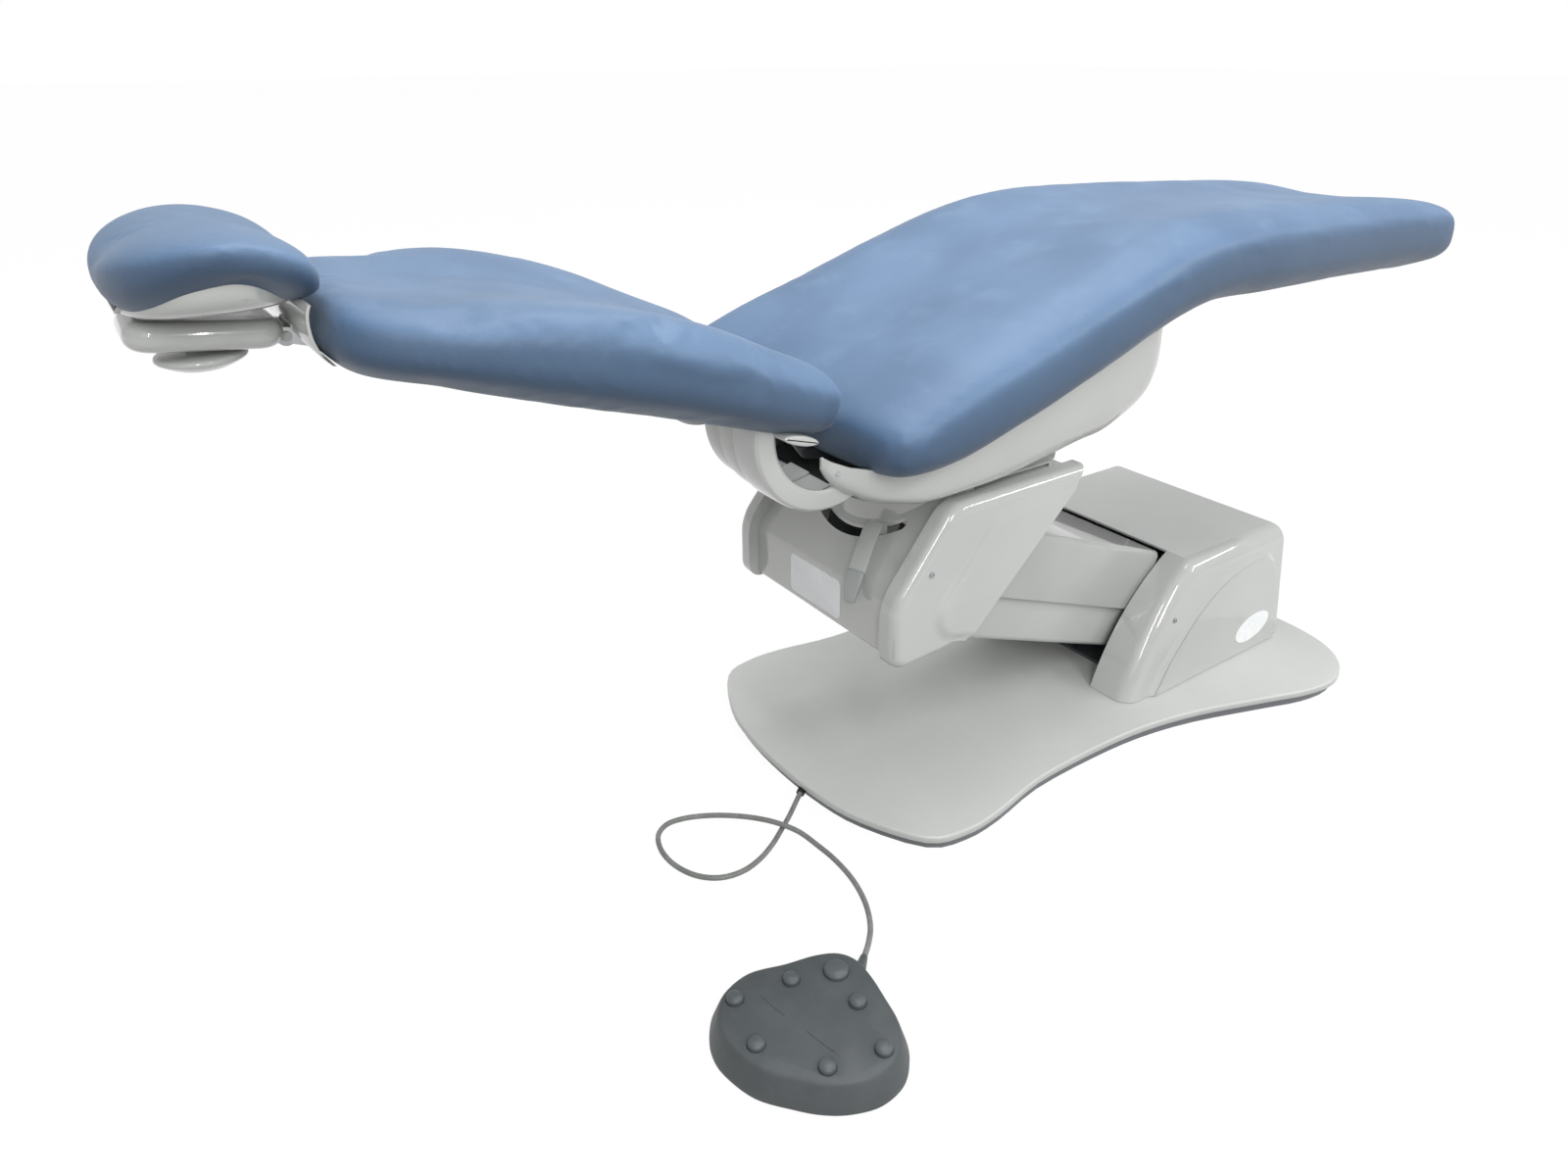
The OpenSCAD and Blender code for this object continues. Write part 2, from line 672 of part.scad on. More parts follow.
module pod_board() color([0.1, 0.35, 0.2]) {
    translate([0, 0, pod_board_z]) linear_extrude(pod_board_t)
        polygon([for (p = pod_ring(0, 0.86, pod_wall)) [p[0], p[1]]]);
    for (s = [[-0.5, 0.4], [0.5, 0.1], [0.1, -0.75], [-0.55, -0.25]])
        translate(concat(pod_at + pod_half * s, [pod_lift + pod_wall]))
            cylinder(r = pod_post_r, h = pod_board_z - pod_lift - pod_wall);
}
module button(share, r) color([0.3, 0.33, 0.34]) {
    ball = (r * r + button_crown * button_crown) / (2 * button_crown);
    translate(concat(button_at(share), [pod_h - button_drop + button_rest])) cylinder(r = r, h = button_drop);
    translate(concat(button_at(share), [pod_h + button_rest])) intersection() {
        translate([0, 0, button_crown - ball]) sphere(r = ball);
        cylinder(r = r, h = button_crown);
    }
}

link_half = link_h / 2;
straight_bar = [[0, -link_half], [link_len, -link_half], [link_len, link_half], [0, link_half]];
// The upper bars dip near the base so that they clear the edge of the base cover
dip_bar = [
    [0, -link_half], [hub_r, -link_half], [2.5 * hub_r, -1.7 * link_half], [5.5 * hub_r, -1.7 * link_half],
    [7.5 * hub_r, -link_half], [link_len, -link_half], [link_len, link_half], [7 * hub_r, link_half],
    [5 * hub_r, -0.4 * link_half], [2.1 * hub_r, -0.4 * link_half], [hub_r, 0.6 * link_half],
    [0, 0.6 * link_half]
];
// Flat bars of a link with a hub at each end
module link_bars(y0, outline) {
    both_sides() difference() {
        union() {
            side_plate(outline, y0, link_t);
            for (x = [0, link_len]) translate([x, y0 + link_t, 0]) rotate([90, 0, 0])
                cylinder(r = hub_r, h = link_t);
        }
        for (x = [0, link_len]) translate([x, y0 + 2 * link_t, 0]) rotate([90, 0, 0])
            cylinder(r = shaft_r + run_fit, h = 3 * link_t);
    }
}
lower_tie_s = 300;
upper_tie_s = 160;
lug_bar_p = 12;
// Cross plate that ties the two bars of a link together
module link_tie(s) {
    block([s, -link_out + link_t, -link_half], [s + link_t, link_out - link_t, link_half]);
}
module lower_link() color([0.35, 0.36, 0.38]) on_link(pivot_low) {
    link_bars(link_out - link_t, straight_bar);
    link_tie(lower_tie_s);
    link_tie(arm_end - hub_r);
}
module upper_link() color([0.35, 0.36, 0.38]) on_link(pivot_high) {
    link_bars(link_out - link_t, dip_bar);
    link_tie(upper_tie_s);
    link_tie(arm_end - hub_r);
    translate([rod_at_s, 0, 0]) difference() {
        union() {
            translate([0, link_out - link_t, lug_bar_p]) rotate([90, 0, 0])
                cylinder(r = pin_r, h = 2 * (link_out - link_t));
            translate([0, lug_half, rod_at_p]) rotate([90, 0, 0]) cylinder(r = lug_r, h = 2 * lug_half);
        }
        translate([0, lug_half + cut, rod_at_p]) rotate([90, 0, 0])
            cylinder(r = lug_hole_r, h = 2 * lug_half + 2 * cut);
    }
}
module arm_channel(half, low, high, start, floor_from, at_top) {
    both_sides() block([start, half - arm_wall, low], [arm_end, half, high]);
    if (at_top) block([start, -half, high - arm_wall], [arm_end, half, high]);
    else block([floor_from, -half, low], [arm_end, half, low + arm_wall]);
}
// Cross straps that hold an arm cover on the bars of its link
module arm_straps(half, xs) {
    for (x = xs) both_sides()
        block([x, link_out, -strap_half], [x + strap_w, half - arm_wall, strap_half]);
}
module upper_arm_cover() color([0.72, 0.73, 0.71]) on_link(pivot_high) {
    arm_channel(arm_half, upper_arm_low, upper_arm_top, arm_start, 0, true);
    arm_straps(arm_half, [arm_start + strap_in, arm_end - strap_end]);
}
module lower_arm_cover() color([0.7, 0.71, 0.69]) on_link(pivot_low) {
    arm_channel(arm_half - arm_lap, lower_arm_low, lower_arm_top, lower_arm_start,
        arm_floor_start, false);
    arm_straps(arm_half - arm_lap, [arm_start + strap_in, arm_end - strap_end]);
}
// Frame whose X runs along an actuator from its motor end
module on_axis(at, tilt) {
    translate([at[0], 0, at[1]]) rotate([0, tilt, 0]) mirror([1, 0, 0]) children();
}
module lift_tube() color([0.25, 0.26, 0.28]) on_axis(motor_at, lift_tilt) {
    difference() {
        union() {
            translate([0, tube_r + side_gap / 2, 0]) rotate([90, 0, 0])
                cylinder(r = motor_boss_r, h = 2 * tube_r + side_gap);
            rotate([0, 90, 0]) cylinder(r = tube_r, h = tube_len);
            translate([2 * motor_boss_r, 0, 0]) rotate([0, 90, 0])
                cylinder(r = tube_r + cover_wall, h = 4 * motor_boss_r);
        }
        translate([rod_low - motor_boss_r, 0, 0]) rotate([0, 90, 0])
            cylinder(r = rod_r + run_fit, h = tube_len);
    }
    translate([0, tube_r + side_gap + cheek_t, 0]) rotate([90, 0, 0])
        cylinder(r = pin_r - run_fit, h = 2 * (tube_r + side_gap + cheek_t));
}
module lift_rod() color([0.8, 0.81, 0.83]) on_axis(motor_at, lift_tilt) {
    neck = lift_span - lug_r - yoke_gap;
    translate([2 * rod_low, 0, 0]) rotate([0, 90, 0]) cylinder(r = rod_r, h = neck - 2 * rod_low);
    block([neck - yoke_t, -fork_in - fork_t, -rod_r], [neck, fork_in + fork_t, rod_r]);
    both_sides() block([neck - yoke_t, fork_in, -rod_r], [lift_span + rod_r, fork_in + fork_t, rod_r]);
    translate([lift_span, fork_in + fork_t, 0]) rotate([90, 0, 0])
        cylinder(r = pin_r, h = 2 * (fork_in + fork_t));
}

head_cheek = [
    head_lower + [-1.3 * hub_r, -1.3 * hub_r], head_lower + [1.3 * hub_r, -1.3 * hub_r],
    head_lower + [3.1 * hub_r, 2 * hub_r], head_upper + [2.4 * hub_r, 0],
    head_upper + [3 * hub_r, 1.8 * hub_r], [head_upper[0] + 7.5 * hub_r, top_plate_z],
    [head_upper[0] - hub_r / 2, top_plate_z], head_upper + [-1.9 * hub_r, 0],
    head_lower + [-1.1 * hub_r, 2 * hub_r]
];
module head_frame() color([0.3, 0.31, 0.33]) {
    difference() {
        union() {
            both_sides() side_plate(head_cheek, cheek_in, cheek_t);
            block([head_upper[0] - hub_r / 2, -head_half + top_plate_t, top_plate_z],
                [swivel_x + head_plate_rear, head_half - top_plate_t, top_plate_z + top_plate_t]);
            translate([swivel_x, 0, top_plate_z - lever_boss_h]) cylinder(r = lever_boss_r, h = lever_boss_h);
        }
        cross_bar(head_lower, shaft_r, cheek_in + 2 * cheek_t);
        cross_bar(head_upper, shaft_r, cheek_in + 2 * cheek_t);
        translate([swivel_x, 0, top_plate_z - 2 * lever_boss_h])
            cylinder(r = spindle_r + cut, h = 3 * lever_boss_h);
    }
}
// Surface of the sloped front face and of the top, as points in X and Z
function head_skin(in) = [
    [head_front_x + head_foot, head_low_z + in], [head_front_x + head_toe, head_low_z + in],
    [head_front_x + in, head_low_z + head_toe], [head_front_x + in, head_crease_z - in * 0.4],
    [head_slope_end_x + in * 0.4, head_top_z - in], [head_rear_x, head_top_z - in]
];
module slot_arc(r0, r1) {
    translate([swivel_x, 0, 0]) rotate([0, 0, 180 + slot_from])
        rotate_extrude(angle = slot_to - slot_from)
            translate([r0, head_low_z]) square([r1 - r0, head_top_z]);
}
module head_front_cover() color([0.71, 0.72, 0.7]) {
    outer = head_skin(0);
    inner = head_skin(cover_wall);
    difference() {
        side_plate(concat(outer, [for (i = [len(inner) - 1 : -1 : 0]) inner[i]]),
            -head_half, 2 * head_half);
        slot_arc(slot_r - slot_half, slot_r + slot_half);
        translate([swivel_x, 0, head_low_z]) cylinder(r = bearing_r + cut, h = head_top_z);
    }
}
module head_side() {
    inner = [for (p = side_cover_pts) p + (head_mid - p) * 0.05];
    difference() {
        side_plate(curve(side_cover_pts, 3, true), side_cover_in, side_cover_t);
        side_plate(curve(inner, 3, true), side_cover_in - cut, side_cover_t - cover_wall + cut);
        translate([head_screw[0], side_cover_in + side_cover_t - 2 * cover_wall, head_screw[1]])
            rotate([-90, 0, 0]) cylinder(r = cover_screw_r / 2, h = 3 * cover_wall);
    }
}
head_screw = [-376, 371];
head_mid = side_cover_low + [0.43 * side_cover_size[0], 0.505 * side_cover_size[1]];
module head_near_cover() color([0.74, 0.75, 0.73]) mirror([0, 1, 0]) head_side();
module head_far_cover() color([0.74, 0.75, 0.73]) head_side();
module head_cover_screws() color([0.8, 0.8, 0.82]) {
    both_sides() translate([head_screw[0], side_cover_in + side_cover_t, head_screw[1]])
        rotate([-90, 0, 0]) cylinder(r = cover_screw_r, h = screw_head);
}
module turret_skirt() color([0.7, 0.71, 0.69]) {
    difference() {
        intersection() {
            translate([swivel_x, 0, head_crease_z]) cylinder(r = turret_r, h = turret_top - head_crease_z);
            block([head_front_x, -head_half + cut, 0],
                [skirt_rear_x, head_half - cut, turret_top]);
        }
        translate([swivel_x, 0, head_crease_z - cut])
            cylinder(r = turret_r - cover_wall, h = turret_top - head_crease_z - cover_wall + cut);
        translate([swivel_x, 0, 0]) cylinder(r = bearing_r + cut, h = turret_top + cut);
        side_plate([[head_front_x - skirt_run, head_crease_z - skirt_run * head_slope_share],
            [head_slope_end_x, head_top_z], [skirt_rear_x, head_top_z], [skirt_rear_x, 0],
            [head_front_x - skirt_run, 0]], -cover_w, 2 * cover_w);
    }
}
module swivel_bearing() color([0.78, 0.79, 0.8]) {
    translate([swivel_x, 0, top_plate_z + top_plate_t]) difference() {
        cylinder(r = bearing_r, h = bearing_top - top_plate_z - top_plate_t);
        translate([0, 0, -cut]) cylinder(r = spindle_r, h = bearing_top - top_plate_z);
    }
}
// Strip that follows a path of radius and height, as thick as the lever
function strip(path, t) = let (
    n = len(path) - 1,
    side = [for (i = [0 : n]) let (
        d = path[min(n, i + 1)] - path[max(0, i - 1)],
        u = d / norm(d)
    ) [-u[1], u[0]]]
) concat([for (i = [0 : n]) path[i] + side[i] * t / 2], [for (i = [n : -1 : 0]) path[i] - side[i] * t / 2]);
module brake_lever() color([0.62, 0.63, 0.62]) {
    translate([swivel_x, 0, 0]) rotate([0, 0, lever_turn]) {
        difference() {
            translate([0, 0, lever_hub_z - lever_t / 2]) cylinder(r = lever_hub_r, h = lever_t);
            cylinder(r = lever_boss_r + run_fit, h = 2 * lever_hub_z);
        }
        mirror([1, 0, 0]) side_plate(strip(lever_path, lever_t), -lever_w / 2, lever_w);
    }
}

function seat_x(i) = seat_rear_x + seat_len * seat_station_shares[i][0];
seat_low = [for (i = [0 : len(seat_station_shares) - 1])
    [seat_x(i), seat_low_z + seat_rise * seat_station_shares[i][1]]];
seat_half = [for (i = [0 : len(seat_station_shares) - 1])
    [seat_x(i), seat_w / 2 * seat_station_shares[i][3]]];
module seat_cushion() color([0.47, 0.58, 0.7]) {
    loft([for (i = [0 : len(seat_station_shares) - 1]) let (s = seat_station_shares[i])
        pad_ring(seat_x(i), seat_low[i][1], seat_low_z + seat_rise * s[2], seat_half[i][1],
            seat_dish * min(1, 8 * (s[2] - s[1])), 0, 32)]);
}
board_xs = [for (i = [board_first : board_last]) seat_x(i)];
module seat_board() color([0.6, 0.5, 0.38]) {
    loft([for (x = board_xs) let (
        z = value_at(seat_low, x) - seat_gap, y = value_at(seat_half, x) * board_share
    ) [[x, -y, z - board_t], [x, y, z - board_t], [x, y, z], [x, -y, z]]]);
}
// The rim of the pan follows the board, and rises into two ears behind the cushion
function board_under(x) =
    value_at(seat_low, max(x, board_xs[0])) - 2 * seat_gap - board_t - side_gap;
pan_rim_end = pan_place(pan_station_shares[4])[0];
pan_rim = concat([for (p = pan_rim_shares) pan_place(p)], [[pan_rim_end, board_under(pan_rim_end)]]);
function pan_top(x) = x < pan_rim_end ? value_at(pan_rim, x) : board_under(x);
// Share of a wall by which the end stations of the inner form are drawn in
function end_in(share) = share < 0.1 ? 1 : share > 0.95 ? -1 : 0;
module pan_solid(in, up) {
    loft([for (s = pan_station_shares) let (p = pan_place(s), top = pan_top(p[0]))
        tray_ring(p[0] + end_in(s[0]) * in, min(p[1] + in, top - pan_wall), top + up,
            pan_half * s[2] - in, 16)]);
}
pan_screw = [-538, 566];
pan_screw_r = 3.5;
pan_hole_gap = 12;
pan_screw_from = 186;
pan_screw_l = 10.5;
module seat_pan() color([0.74, 0.75, 0.73]) {
    difference() {
        pan_solid(0, 0);
        pan_solid(pan_wall, cut);
        cross_bar(hinge, hinge_cover_r + cover_wall, ring_near + pan_wall);
        translate([swivel_x, 0, 0]) cylinder(r = spindle_r + pan_hole_gap, h = pan_top(swivel_x));
        both_sides() translate([pan_screw[0], pan_screw_from - side_gap, pan_screw[1]]) rotate([-90, 0, 0])
            cylinder(r = pan_screw_r + run_fit, h = 2 * pan_screw_l);
    }
}
module seat_pan_screws() color([0.8, 0.8, 0.82]) {
    both_sides() translate([pan_screw[0], pan_screw_from, pan_screw[1]]) rotate([-90, 0, 0])
        cylinder(r = pan_screw_r, h = pan_screw_l);
}
frame_z = 486;
frame_t2 = 8;
frame_rear_x = -330;
frame_front_x = -128;
frame_half = 90;
frame_slot_half = 30;
frame_slot_end = -250;
frame_rail_y = 60;
spindle_sink = 24;
module swivel_spindle() color([0.8, 0.81, 0.83]) {
    translate([swivel_x, 0, top_plate_z - spindle_sink])
        cylinder(r = spindle_r - run_fit, h = frame_z - top_plate_z + spindle_sink);
}
seat_rail = [
    pan_place([0.2295, 0.422]), [frame_rear_x + frame_slot_half, frame_z],
    [frame_front_x - side_gap, frame_z],
    pan_place([0.8879, 0.3945]), pan_place([0.8879, 1.0275]), pan_place([0.6922, 1.0734]),
    pan_place([0.4786, 0.7523]), pan_place([0.2117, 0.6147])
];
seat_ear = [
    [frame_rear_x, frame_z + 0.75 * frame_t2], [frame_rear_x + frame_slot_half, frame_z + frame_t2 / 2],
    pan_place([0.2829, 0.6239]), pan_place([0.2295, 0.6239]), pan_place([0.0907, 0.6881]),
    [hinge[0] + hinge_boss_r, hinge[1] - 5 * frame_t2], [hinge[0] + hinge_boss_r, hinge[1]],
    [hinge[0] - hinge_boss_r, hinge[1]], pan_place([0.105, 0.5688]), pan_place([0.2117, 0.4312])
];
pan_low = [for (p = pan_station_shares) pan_place(p)];
frame_foot_x = [-290, -150];
frame_foot_r = 9;
frame_web_h = 74;
frame_post = [[-312, 520], [-110, 560]];
function foot_floor(x) = max(value_at(pan_low, x - frame_foot_r), value_at(pan_low, x + frame_foot_r))
    + pan_wall + side_gap;
module seat_frame() color([0.3, 0.31, 0.33]) {
    difference() {
        union() {
            difference() {
                block([frame_rear_x, -frame_half, frame_z], [frame_front_x, frame_half, frame_z + frame_t2]);
                block([frame_rear_x - cut, -frame_slot_half, frame_z - cut],
                    [frame_slot_end, frame_slot_half, frame_z + frame_t2 + cut]);
            }
            both_sides() side_plate(seat_rail, frame_rail_y, frame_t2);
            both_sides() side_plate(seat_ear, frame_rail_y + frame_t2, frame_t2);
            both_sides() for (x = frame_foot_x) translate([x, frame_rail_y, foot_floor(x)])
                cylinder(r = frame_foot_r, h = frame_z - foot_floor(x) + cut);
            both_sides() translate([hinge[0], frame_rail_y + 2 * frame_t2, hinge[1]]) rotate([90, 0, 0])
                cylinder(r = hinge_boss_r, h = 2 * frame_t2);
            block([frame_front_x - frame_t2, -frame_rail_y, frame_z + frame_t2 / 2],
                [frame_front_x, frame_rail_y, frame_z + frame_web_h]);
            both_sides() block(
                [back_motor_at[0] - 2 * back_pin_r, back_tube_r + side_gap,
                    back_motor_at[1] - 2 * back_pin_r],
                [back_motor_at[0] + 2 * back_pin_r, back_tube_r + side_gap + back_ear_t,
                    back_motor_at[1] + 2 * back_pin_r]);
            both_sides() block([back_motor_at[0] - frame_t2 / 2, back_tube_r + side_gap + back_ear_t - cut,
                back_motor_at[1] - back_pin_r],
                [back_motor_at[0] + frame_t2 / 2, frame_rail_y + cut, back_motor_at[1] + back_pin_r]);
        }
        cross_bar(hinge, hinge_shaft_r, hinge_half + side_gap);
        cross_bar(back_motor_at, back_pin_r, 2 * back_tube_r + 2 * back_pin_r);
    }
    both_sides() for (p = frame_post) block([p[0], frame_rail_y, p[1]],
        [p[0] + frame_t2, frame_rail_y + frame_t2,
            value_at(seat_low, p[0]) - seat_gap - board_t - side_gap / 10]);
}
module hinge_shaft() color([0.78, 0.79, 0.8]) cross_bar(hinge, hinge_shaft_r, hinge_half);

function back_hb(s) = back_rest_h + seat_gap + back_h * (s[1] - 0.04);
module back_cushion() color([0.45, 0.56, 0.68]) on_back() {
    loft([for (s = back_station_shares)
        pad_ring(back_start + back_len * s[0], back_hb(s), back_rest_h + back_h * s[2],
            back_w / 2 * s[3], back_dish * max(0, s[2] - 0.35) / 0.65,
            back_lift * max(0, s[3] - 0.8) / 0.2, 32)]);
}
module back_frame() color([0.3, 0.31, 0.33]) {
    on_back() {
        block([back_plate_from, -back_plate_half, back_rest_h - back_plate_t],
            [back_plate_to, back_plate_half, back_rest_h]);
        both_sides() block([guide_from, bar_w / 2 + seat_gap, bar_h - bar_t / 2 - cut],
            [guide_to, bar_w / 2 + guide_wall, back_rest_h - back_plate_t + cut]);
        block([guide_from, -bar_w / 2 - guide_wall, bar_h - bar_t / 2 - seat_gap - guide_wall / 2],
            [guide_to, bar_w / 2 + guide_wall, bar_h - bar_t / 2 - seat_gap]);
    }
    difference() {
        union() {
            both_sides() on_back() block([-back_arm_in, back_arm_y, -back_arm_in],
                [3 * back_plate_from, back_arm_y + back_arm_t, back_rest_h]);
            both_sides() translate([hinge[0], back_arm_y + back_arm_t + cut, hinge[1]]) rotate([90, 0, 0])
                cylinder(r = hinge_boss_r, h = 2 * back_arm_t + cut);
            on_back() block([back_arm_t / 2, -back_tie_half, -side_gap],
                [back_plate_from + cut, back_tie_half, back_rest_h]);
            cross_bar(hinge, back_arm_in, back_tie_half + cut);
            side_plate([hinge - [back_lug_neck, 0], hinge + [back_lug_neck, 0],
                back_eye + [back_lug_neck, 0], back_eye - [back_lug_neck, 0]],
                -back_lug_half, 2 * back_lug_half);
            cross_bar(back_eye, back_lug_r, back_lug_half);
        }
        cross_bar(hinge, hinge_shaft_r + run_fit, hinge_half + side_gap);
        cross_bar(back_eye, back_lug_hole_r, 3 * back_lug_half);
    }
}
module shell_solid(in, up) {
    loft([for (s = shell_station_shares)
        tray_ring(shell_start + shell_len * s[0] + (s[0] < 0.5 ? in : -in) * (abs(s[0] - 0.5) > 0.48 ? 1 : 0),
            back_rest_h - shell_depth * s[1] + in, back_rest_h + up, shell_w / 2 * s[2] - in, 14)]);
}
module back_shell() color([0.74, 0.75, 0.73]) {
    difference() {
        on_back() shell_solid(0, 0);
        on_back() shell_solid(cover_wall, cut);
        cross_bar(hinge, cover_ring_in, hinge_half + guide_wall);
        on_back() block([shell_len + shell_start - fork_len, -bar_w / 2 - cover_wall,
            bar_h - bar_t / 2 - side_gap], [bar_to, bar_w / 2 + cover_wall, back_rest_h + cut]);
    }
}
ring_from = 150;
ring_to = 305;
module hinge_covers() color([0.74, 0.75, 0.73]) {
    both_sides() difference() {
        translate([hinge[0], 0, hinge[1]]) rotate([90, 0, 0]) mirror([0, 0, 1])
            rotate([0, 0, ring_from]) rotate_extrude(angle = ring_to - ring_from) difference() {
                translate([cover_ring_in, ring_far])
                    square([hinge_cover_r - cover_ring_in, ring_near - ring_far]);
                translate([cover_ring_in - cut, ring_far - cut])
                    square([hinge_cover_r - cover_ring_in - cover_ring_wall + cut,
                        ring_near - ring_far - pan_wall + cut]);
            }
        on_back() shell_solid(-seat_gap, seat_gap);
        on_back() block([-hinge_cover_r, -shell_w, -back_rest_h], [shell_len, shell_w, hinge_cover_r * 2]);
    }
}
module back_tube() color([0.25, 0.26, 0.28]) on_axis(back_motor_at, back_tilt) {
    difference() {
        union() {
            translate([0, back_tube_r + side_gap / 2, 0]) rotate([90, 0, 0])
                cylinder(r = back_boss_r, h = 2 * back_tube_r + side_gap);
            rotate([0, 90, 0]) cylinder(r = back_tube_r, h = back_tube_len);
        }
        translate([back_bore_in, 0, 0]) rotate([0, 90, 0])
            cylinder(r = back_rod_r + run_fit, h = back_tube_len);
    }
    translate([0, back_tube_r + side_gap + back_ear_t, 0]) rotate([90, 0, 0])
        cylinder(r = back_pin_r - run_fit, h = 2 * (back_tube_r + side_gap + back_ear_t));
}
module back_rod() color([0.8, 0.81, 0.83]) on_axis(back_motor_at, back_tilt) {
    neck = back_span - back_lug_r - back_yoke_gap;
    fork_out = back_fork_in + back_fork_t;
    translate([back_rod_in, 0, 0]) rotate([0, 90, 0]) cylinder(r = back_rod_r, h = neck - back_rod_in);
    block([neck - back_yoke_t, -fork_out, -back_rod_r], [neck, fork_out, back_rod_r]);
    both_sides() block([neck - back_yoke_t, back_fork_in, -back_rod_r],
        [back_span + back_rod_r, fork_out, back_rod_r]);
    translate([back_span, fork_out, 0]) rotate([90, 0, 0]) cylinder(r = back_pin_r, h = 2 * fork_out);
}

fork_w = 6;
fork_len = 32;
module headrest_bar() color([0.75, 0.76, 0.78]) {
    difference() {
        union() {
            on_back() translate([0, 0, bar_h - bar_t / 2]) linear_extrude(bar_t) polygon([
                [bar_from, -bar_w / 2], [bar_to, -bar_w / 2], [bar_to, -bar_w / 2 + fork_w],
                [bar_to - fork_len, -bar_w / 2 + fork_w], [bar_to - fork_len, bar_w / 2 - fork_w],
                [bar_to, bar_w / 2 - fork_w], [bar_to, bar_w / 2], [bar_from, bar_w / 2]
            ]);
            both_sides() translate([box_pivot[0], bar_w / 2 + cut, box_pivot[1]]) rotate([90, 0, 0])
                cylinder(r = box_eye_r, h = fork_w + cut / 2);
        }
        cross_bar(box_pivot, box_pin_r, bar_w);
    }
}
// Frame of the headrest box, X toward the head end from its right pivot
module on_box() {
    translate([box_pivot[0], 0, box_pivot[1]]) rotate([0, box_tilt, 0]) mirror([1, 0, 0]) children();
}
module headrest_box() color([0.74, 0.75, 0.73]) {
    difference() {
        on_box() union() {
            translate([box_start, 0, 0]) linear_extrude(box_h, center = true) polygon(concat(
                [for (a = [-90 : 15 : 90])
                    [box_len - box_nose_r * (1 - cos(a)), box_w / 2 - box_nose_r * (1 - sin(a))]],
                [for (a = [90 : 15 : 180])
                    [box_tail_r + box_tail_r * cos(a), box_w / 2 - box_tail_r + box_tail_r * sin(a)]],
                [for (a = [180 : 15 : 270])
                    [box_tail_r + box_tail_r * cos(a), -box_w / 2 + box_tail_r + box_tail_r * sin(a)]],
                [for (a = [270 : 15 : 360])
                    [box_len - box_nose_r * (1 - cos(a)), -box_w / 2 + box_nose_r * (1 + sin(a))]]
            ));
            rotate([90, 0, 0]) cylinder(r = box_eye_r, h = 2 * tongue_half, center = true);
            block([0, -tongue_half, -tongue_t / 2], [box_nose_r, tongue_half, tongue_t / 2]);
            rotate([90, 0, 0]) cylinder(r = box_pin_r - run_fit, h = bar_w, center = true);
        }
        cross_bar(rest_pivot, rest_eye_r + 2 * seat_gap, rest_eye_half + seat_gap);
        block([rest_pivot[0] - 2 * rest_eye_r, -rest_eye_half - seat_gap, rest_pivot[1]],
            [rest_pivot[0] + rest_eye_r + side_gap, rest_eye_half + seat_gap, rest_low]);
    }
}
module headrest_shell() color([0.74, 0.75, 0.73]) {
    loft([for (s = rest_station_shares) let (x = rest_tip_x + head_len * (0.06 + 0.88 * s[0]))
        tray_ring(x, rest_low - side_gap - rest_shell_t * s[2], rest_low - 5 * seat_gap + head_h * 0.04,
            head_w / 2 * s[3] * 0.86, 12)]);
    cross_bar(rest_pivot, rest_eye_r, rest_eye_half);
    block([rest_pivot[0] - rest_foot_half, -rest_eye_half, rest_pivot[1]],
        [rest_pivot[0] + rest_foot_half, rest_eye_half, rest_low - 1.5 * side_gap]);
}
module headrest_cushion() color([0.5, 0.6, 0.72]) {
    loft([for (s = rest_station_shares)
        pad_ring(rest_tip_x + head_len * s[0], rest_low + 1.25 * side_gap + head_h * s[1],
            rest_low + head_h * s[2],
            head_w / 2 * s[3], rest_dish * s[2], 0, 26)]);
}
module headrest_knob() color([0.7, 0.71, 0.69]) {
    translate([knob_at[0], knob_at[1], knob_top]) rotate_extrude()
        polygon([for (p = knob_shares) [p[0] * knob_d / 2, p[1] * knob_h]]);
}

base_plate();
base_skirt();
base_frame();
link_shaft(pivot_low);  // lower_base_shaft
link_shaft(pivot_high);  // upper_base_shaft
base_cover();
base_cover_screws();
power_supply();
control_box();
power_inlet();
lift_motor_bracket();
cord_gland();
cord();
pod_strain_relief();
pod_shell();
pod_base();
pod_feet();
pod_board();
button(small_button_shares[0], button_r);  // button_1
button(small_button_shares[1], button_r);  // button_2
button(small_button_shares[2], button_r);  // button_3
button(small_button_shares[3], button_r);  // button_4
button(small_button_shares[4], button_r);  // button_5
button(small_button_shares[5], button_r);  // button_6
button(big_button_share, big_button_r);  // big_button
lower_link();
lower_arm_cover();
upper_link();
upper_arm_cover();
lift_tube();
lift_rod();
carried() head_frame();
carried() link_shaft(head_lower);  // lower_head_shaft
carried() link_shaft(head_upper);  // upper_head_shaft
carried() head_front_cover();
carried() head_near_cover();
carried() head_far_cover();
carried() head_cover_screws();
carried() turret_skirt();
carried() swivel_bearing();
carried() brake_lever();
carried() swivel_spindle();
carried() seat_frame();
carried() seat_pan();
carried() seat_pan_screws();
carried() seat_board();
carried() seat_cushion();
carried() hinge_shaft();
carried() back_tube();
carried() back_rod();
carried() back_frame();
carried() back_shell();
carried() hinge_covers();
carried() back_cushion();
carried() headrest_bar();
carried() headrest_box();
carried() headrest_shell();
carried() headrest_cushion();
carried() headrest_knob();
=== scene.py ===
"""Looks of an orthodontic chair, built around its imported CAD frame.

Lengths are written in millimetres, as in the part's source, and become metres where a mesh is made.
X points to the foot end, -X to the head end, -Y to the near side, and Z up from the floor.
"""

import logging
import math
from dataclasses import dataclass, field
from enum import Enum
from typing import Callable, Iterable, Sequence

import bmesh
import bpy
from mathutils import Matrix, Vector


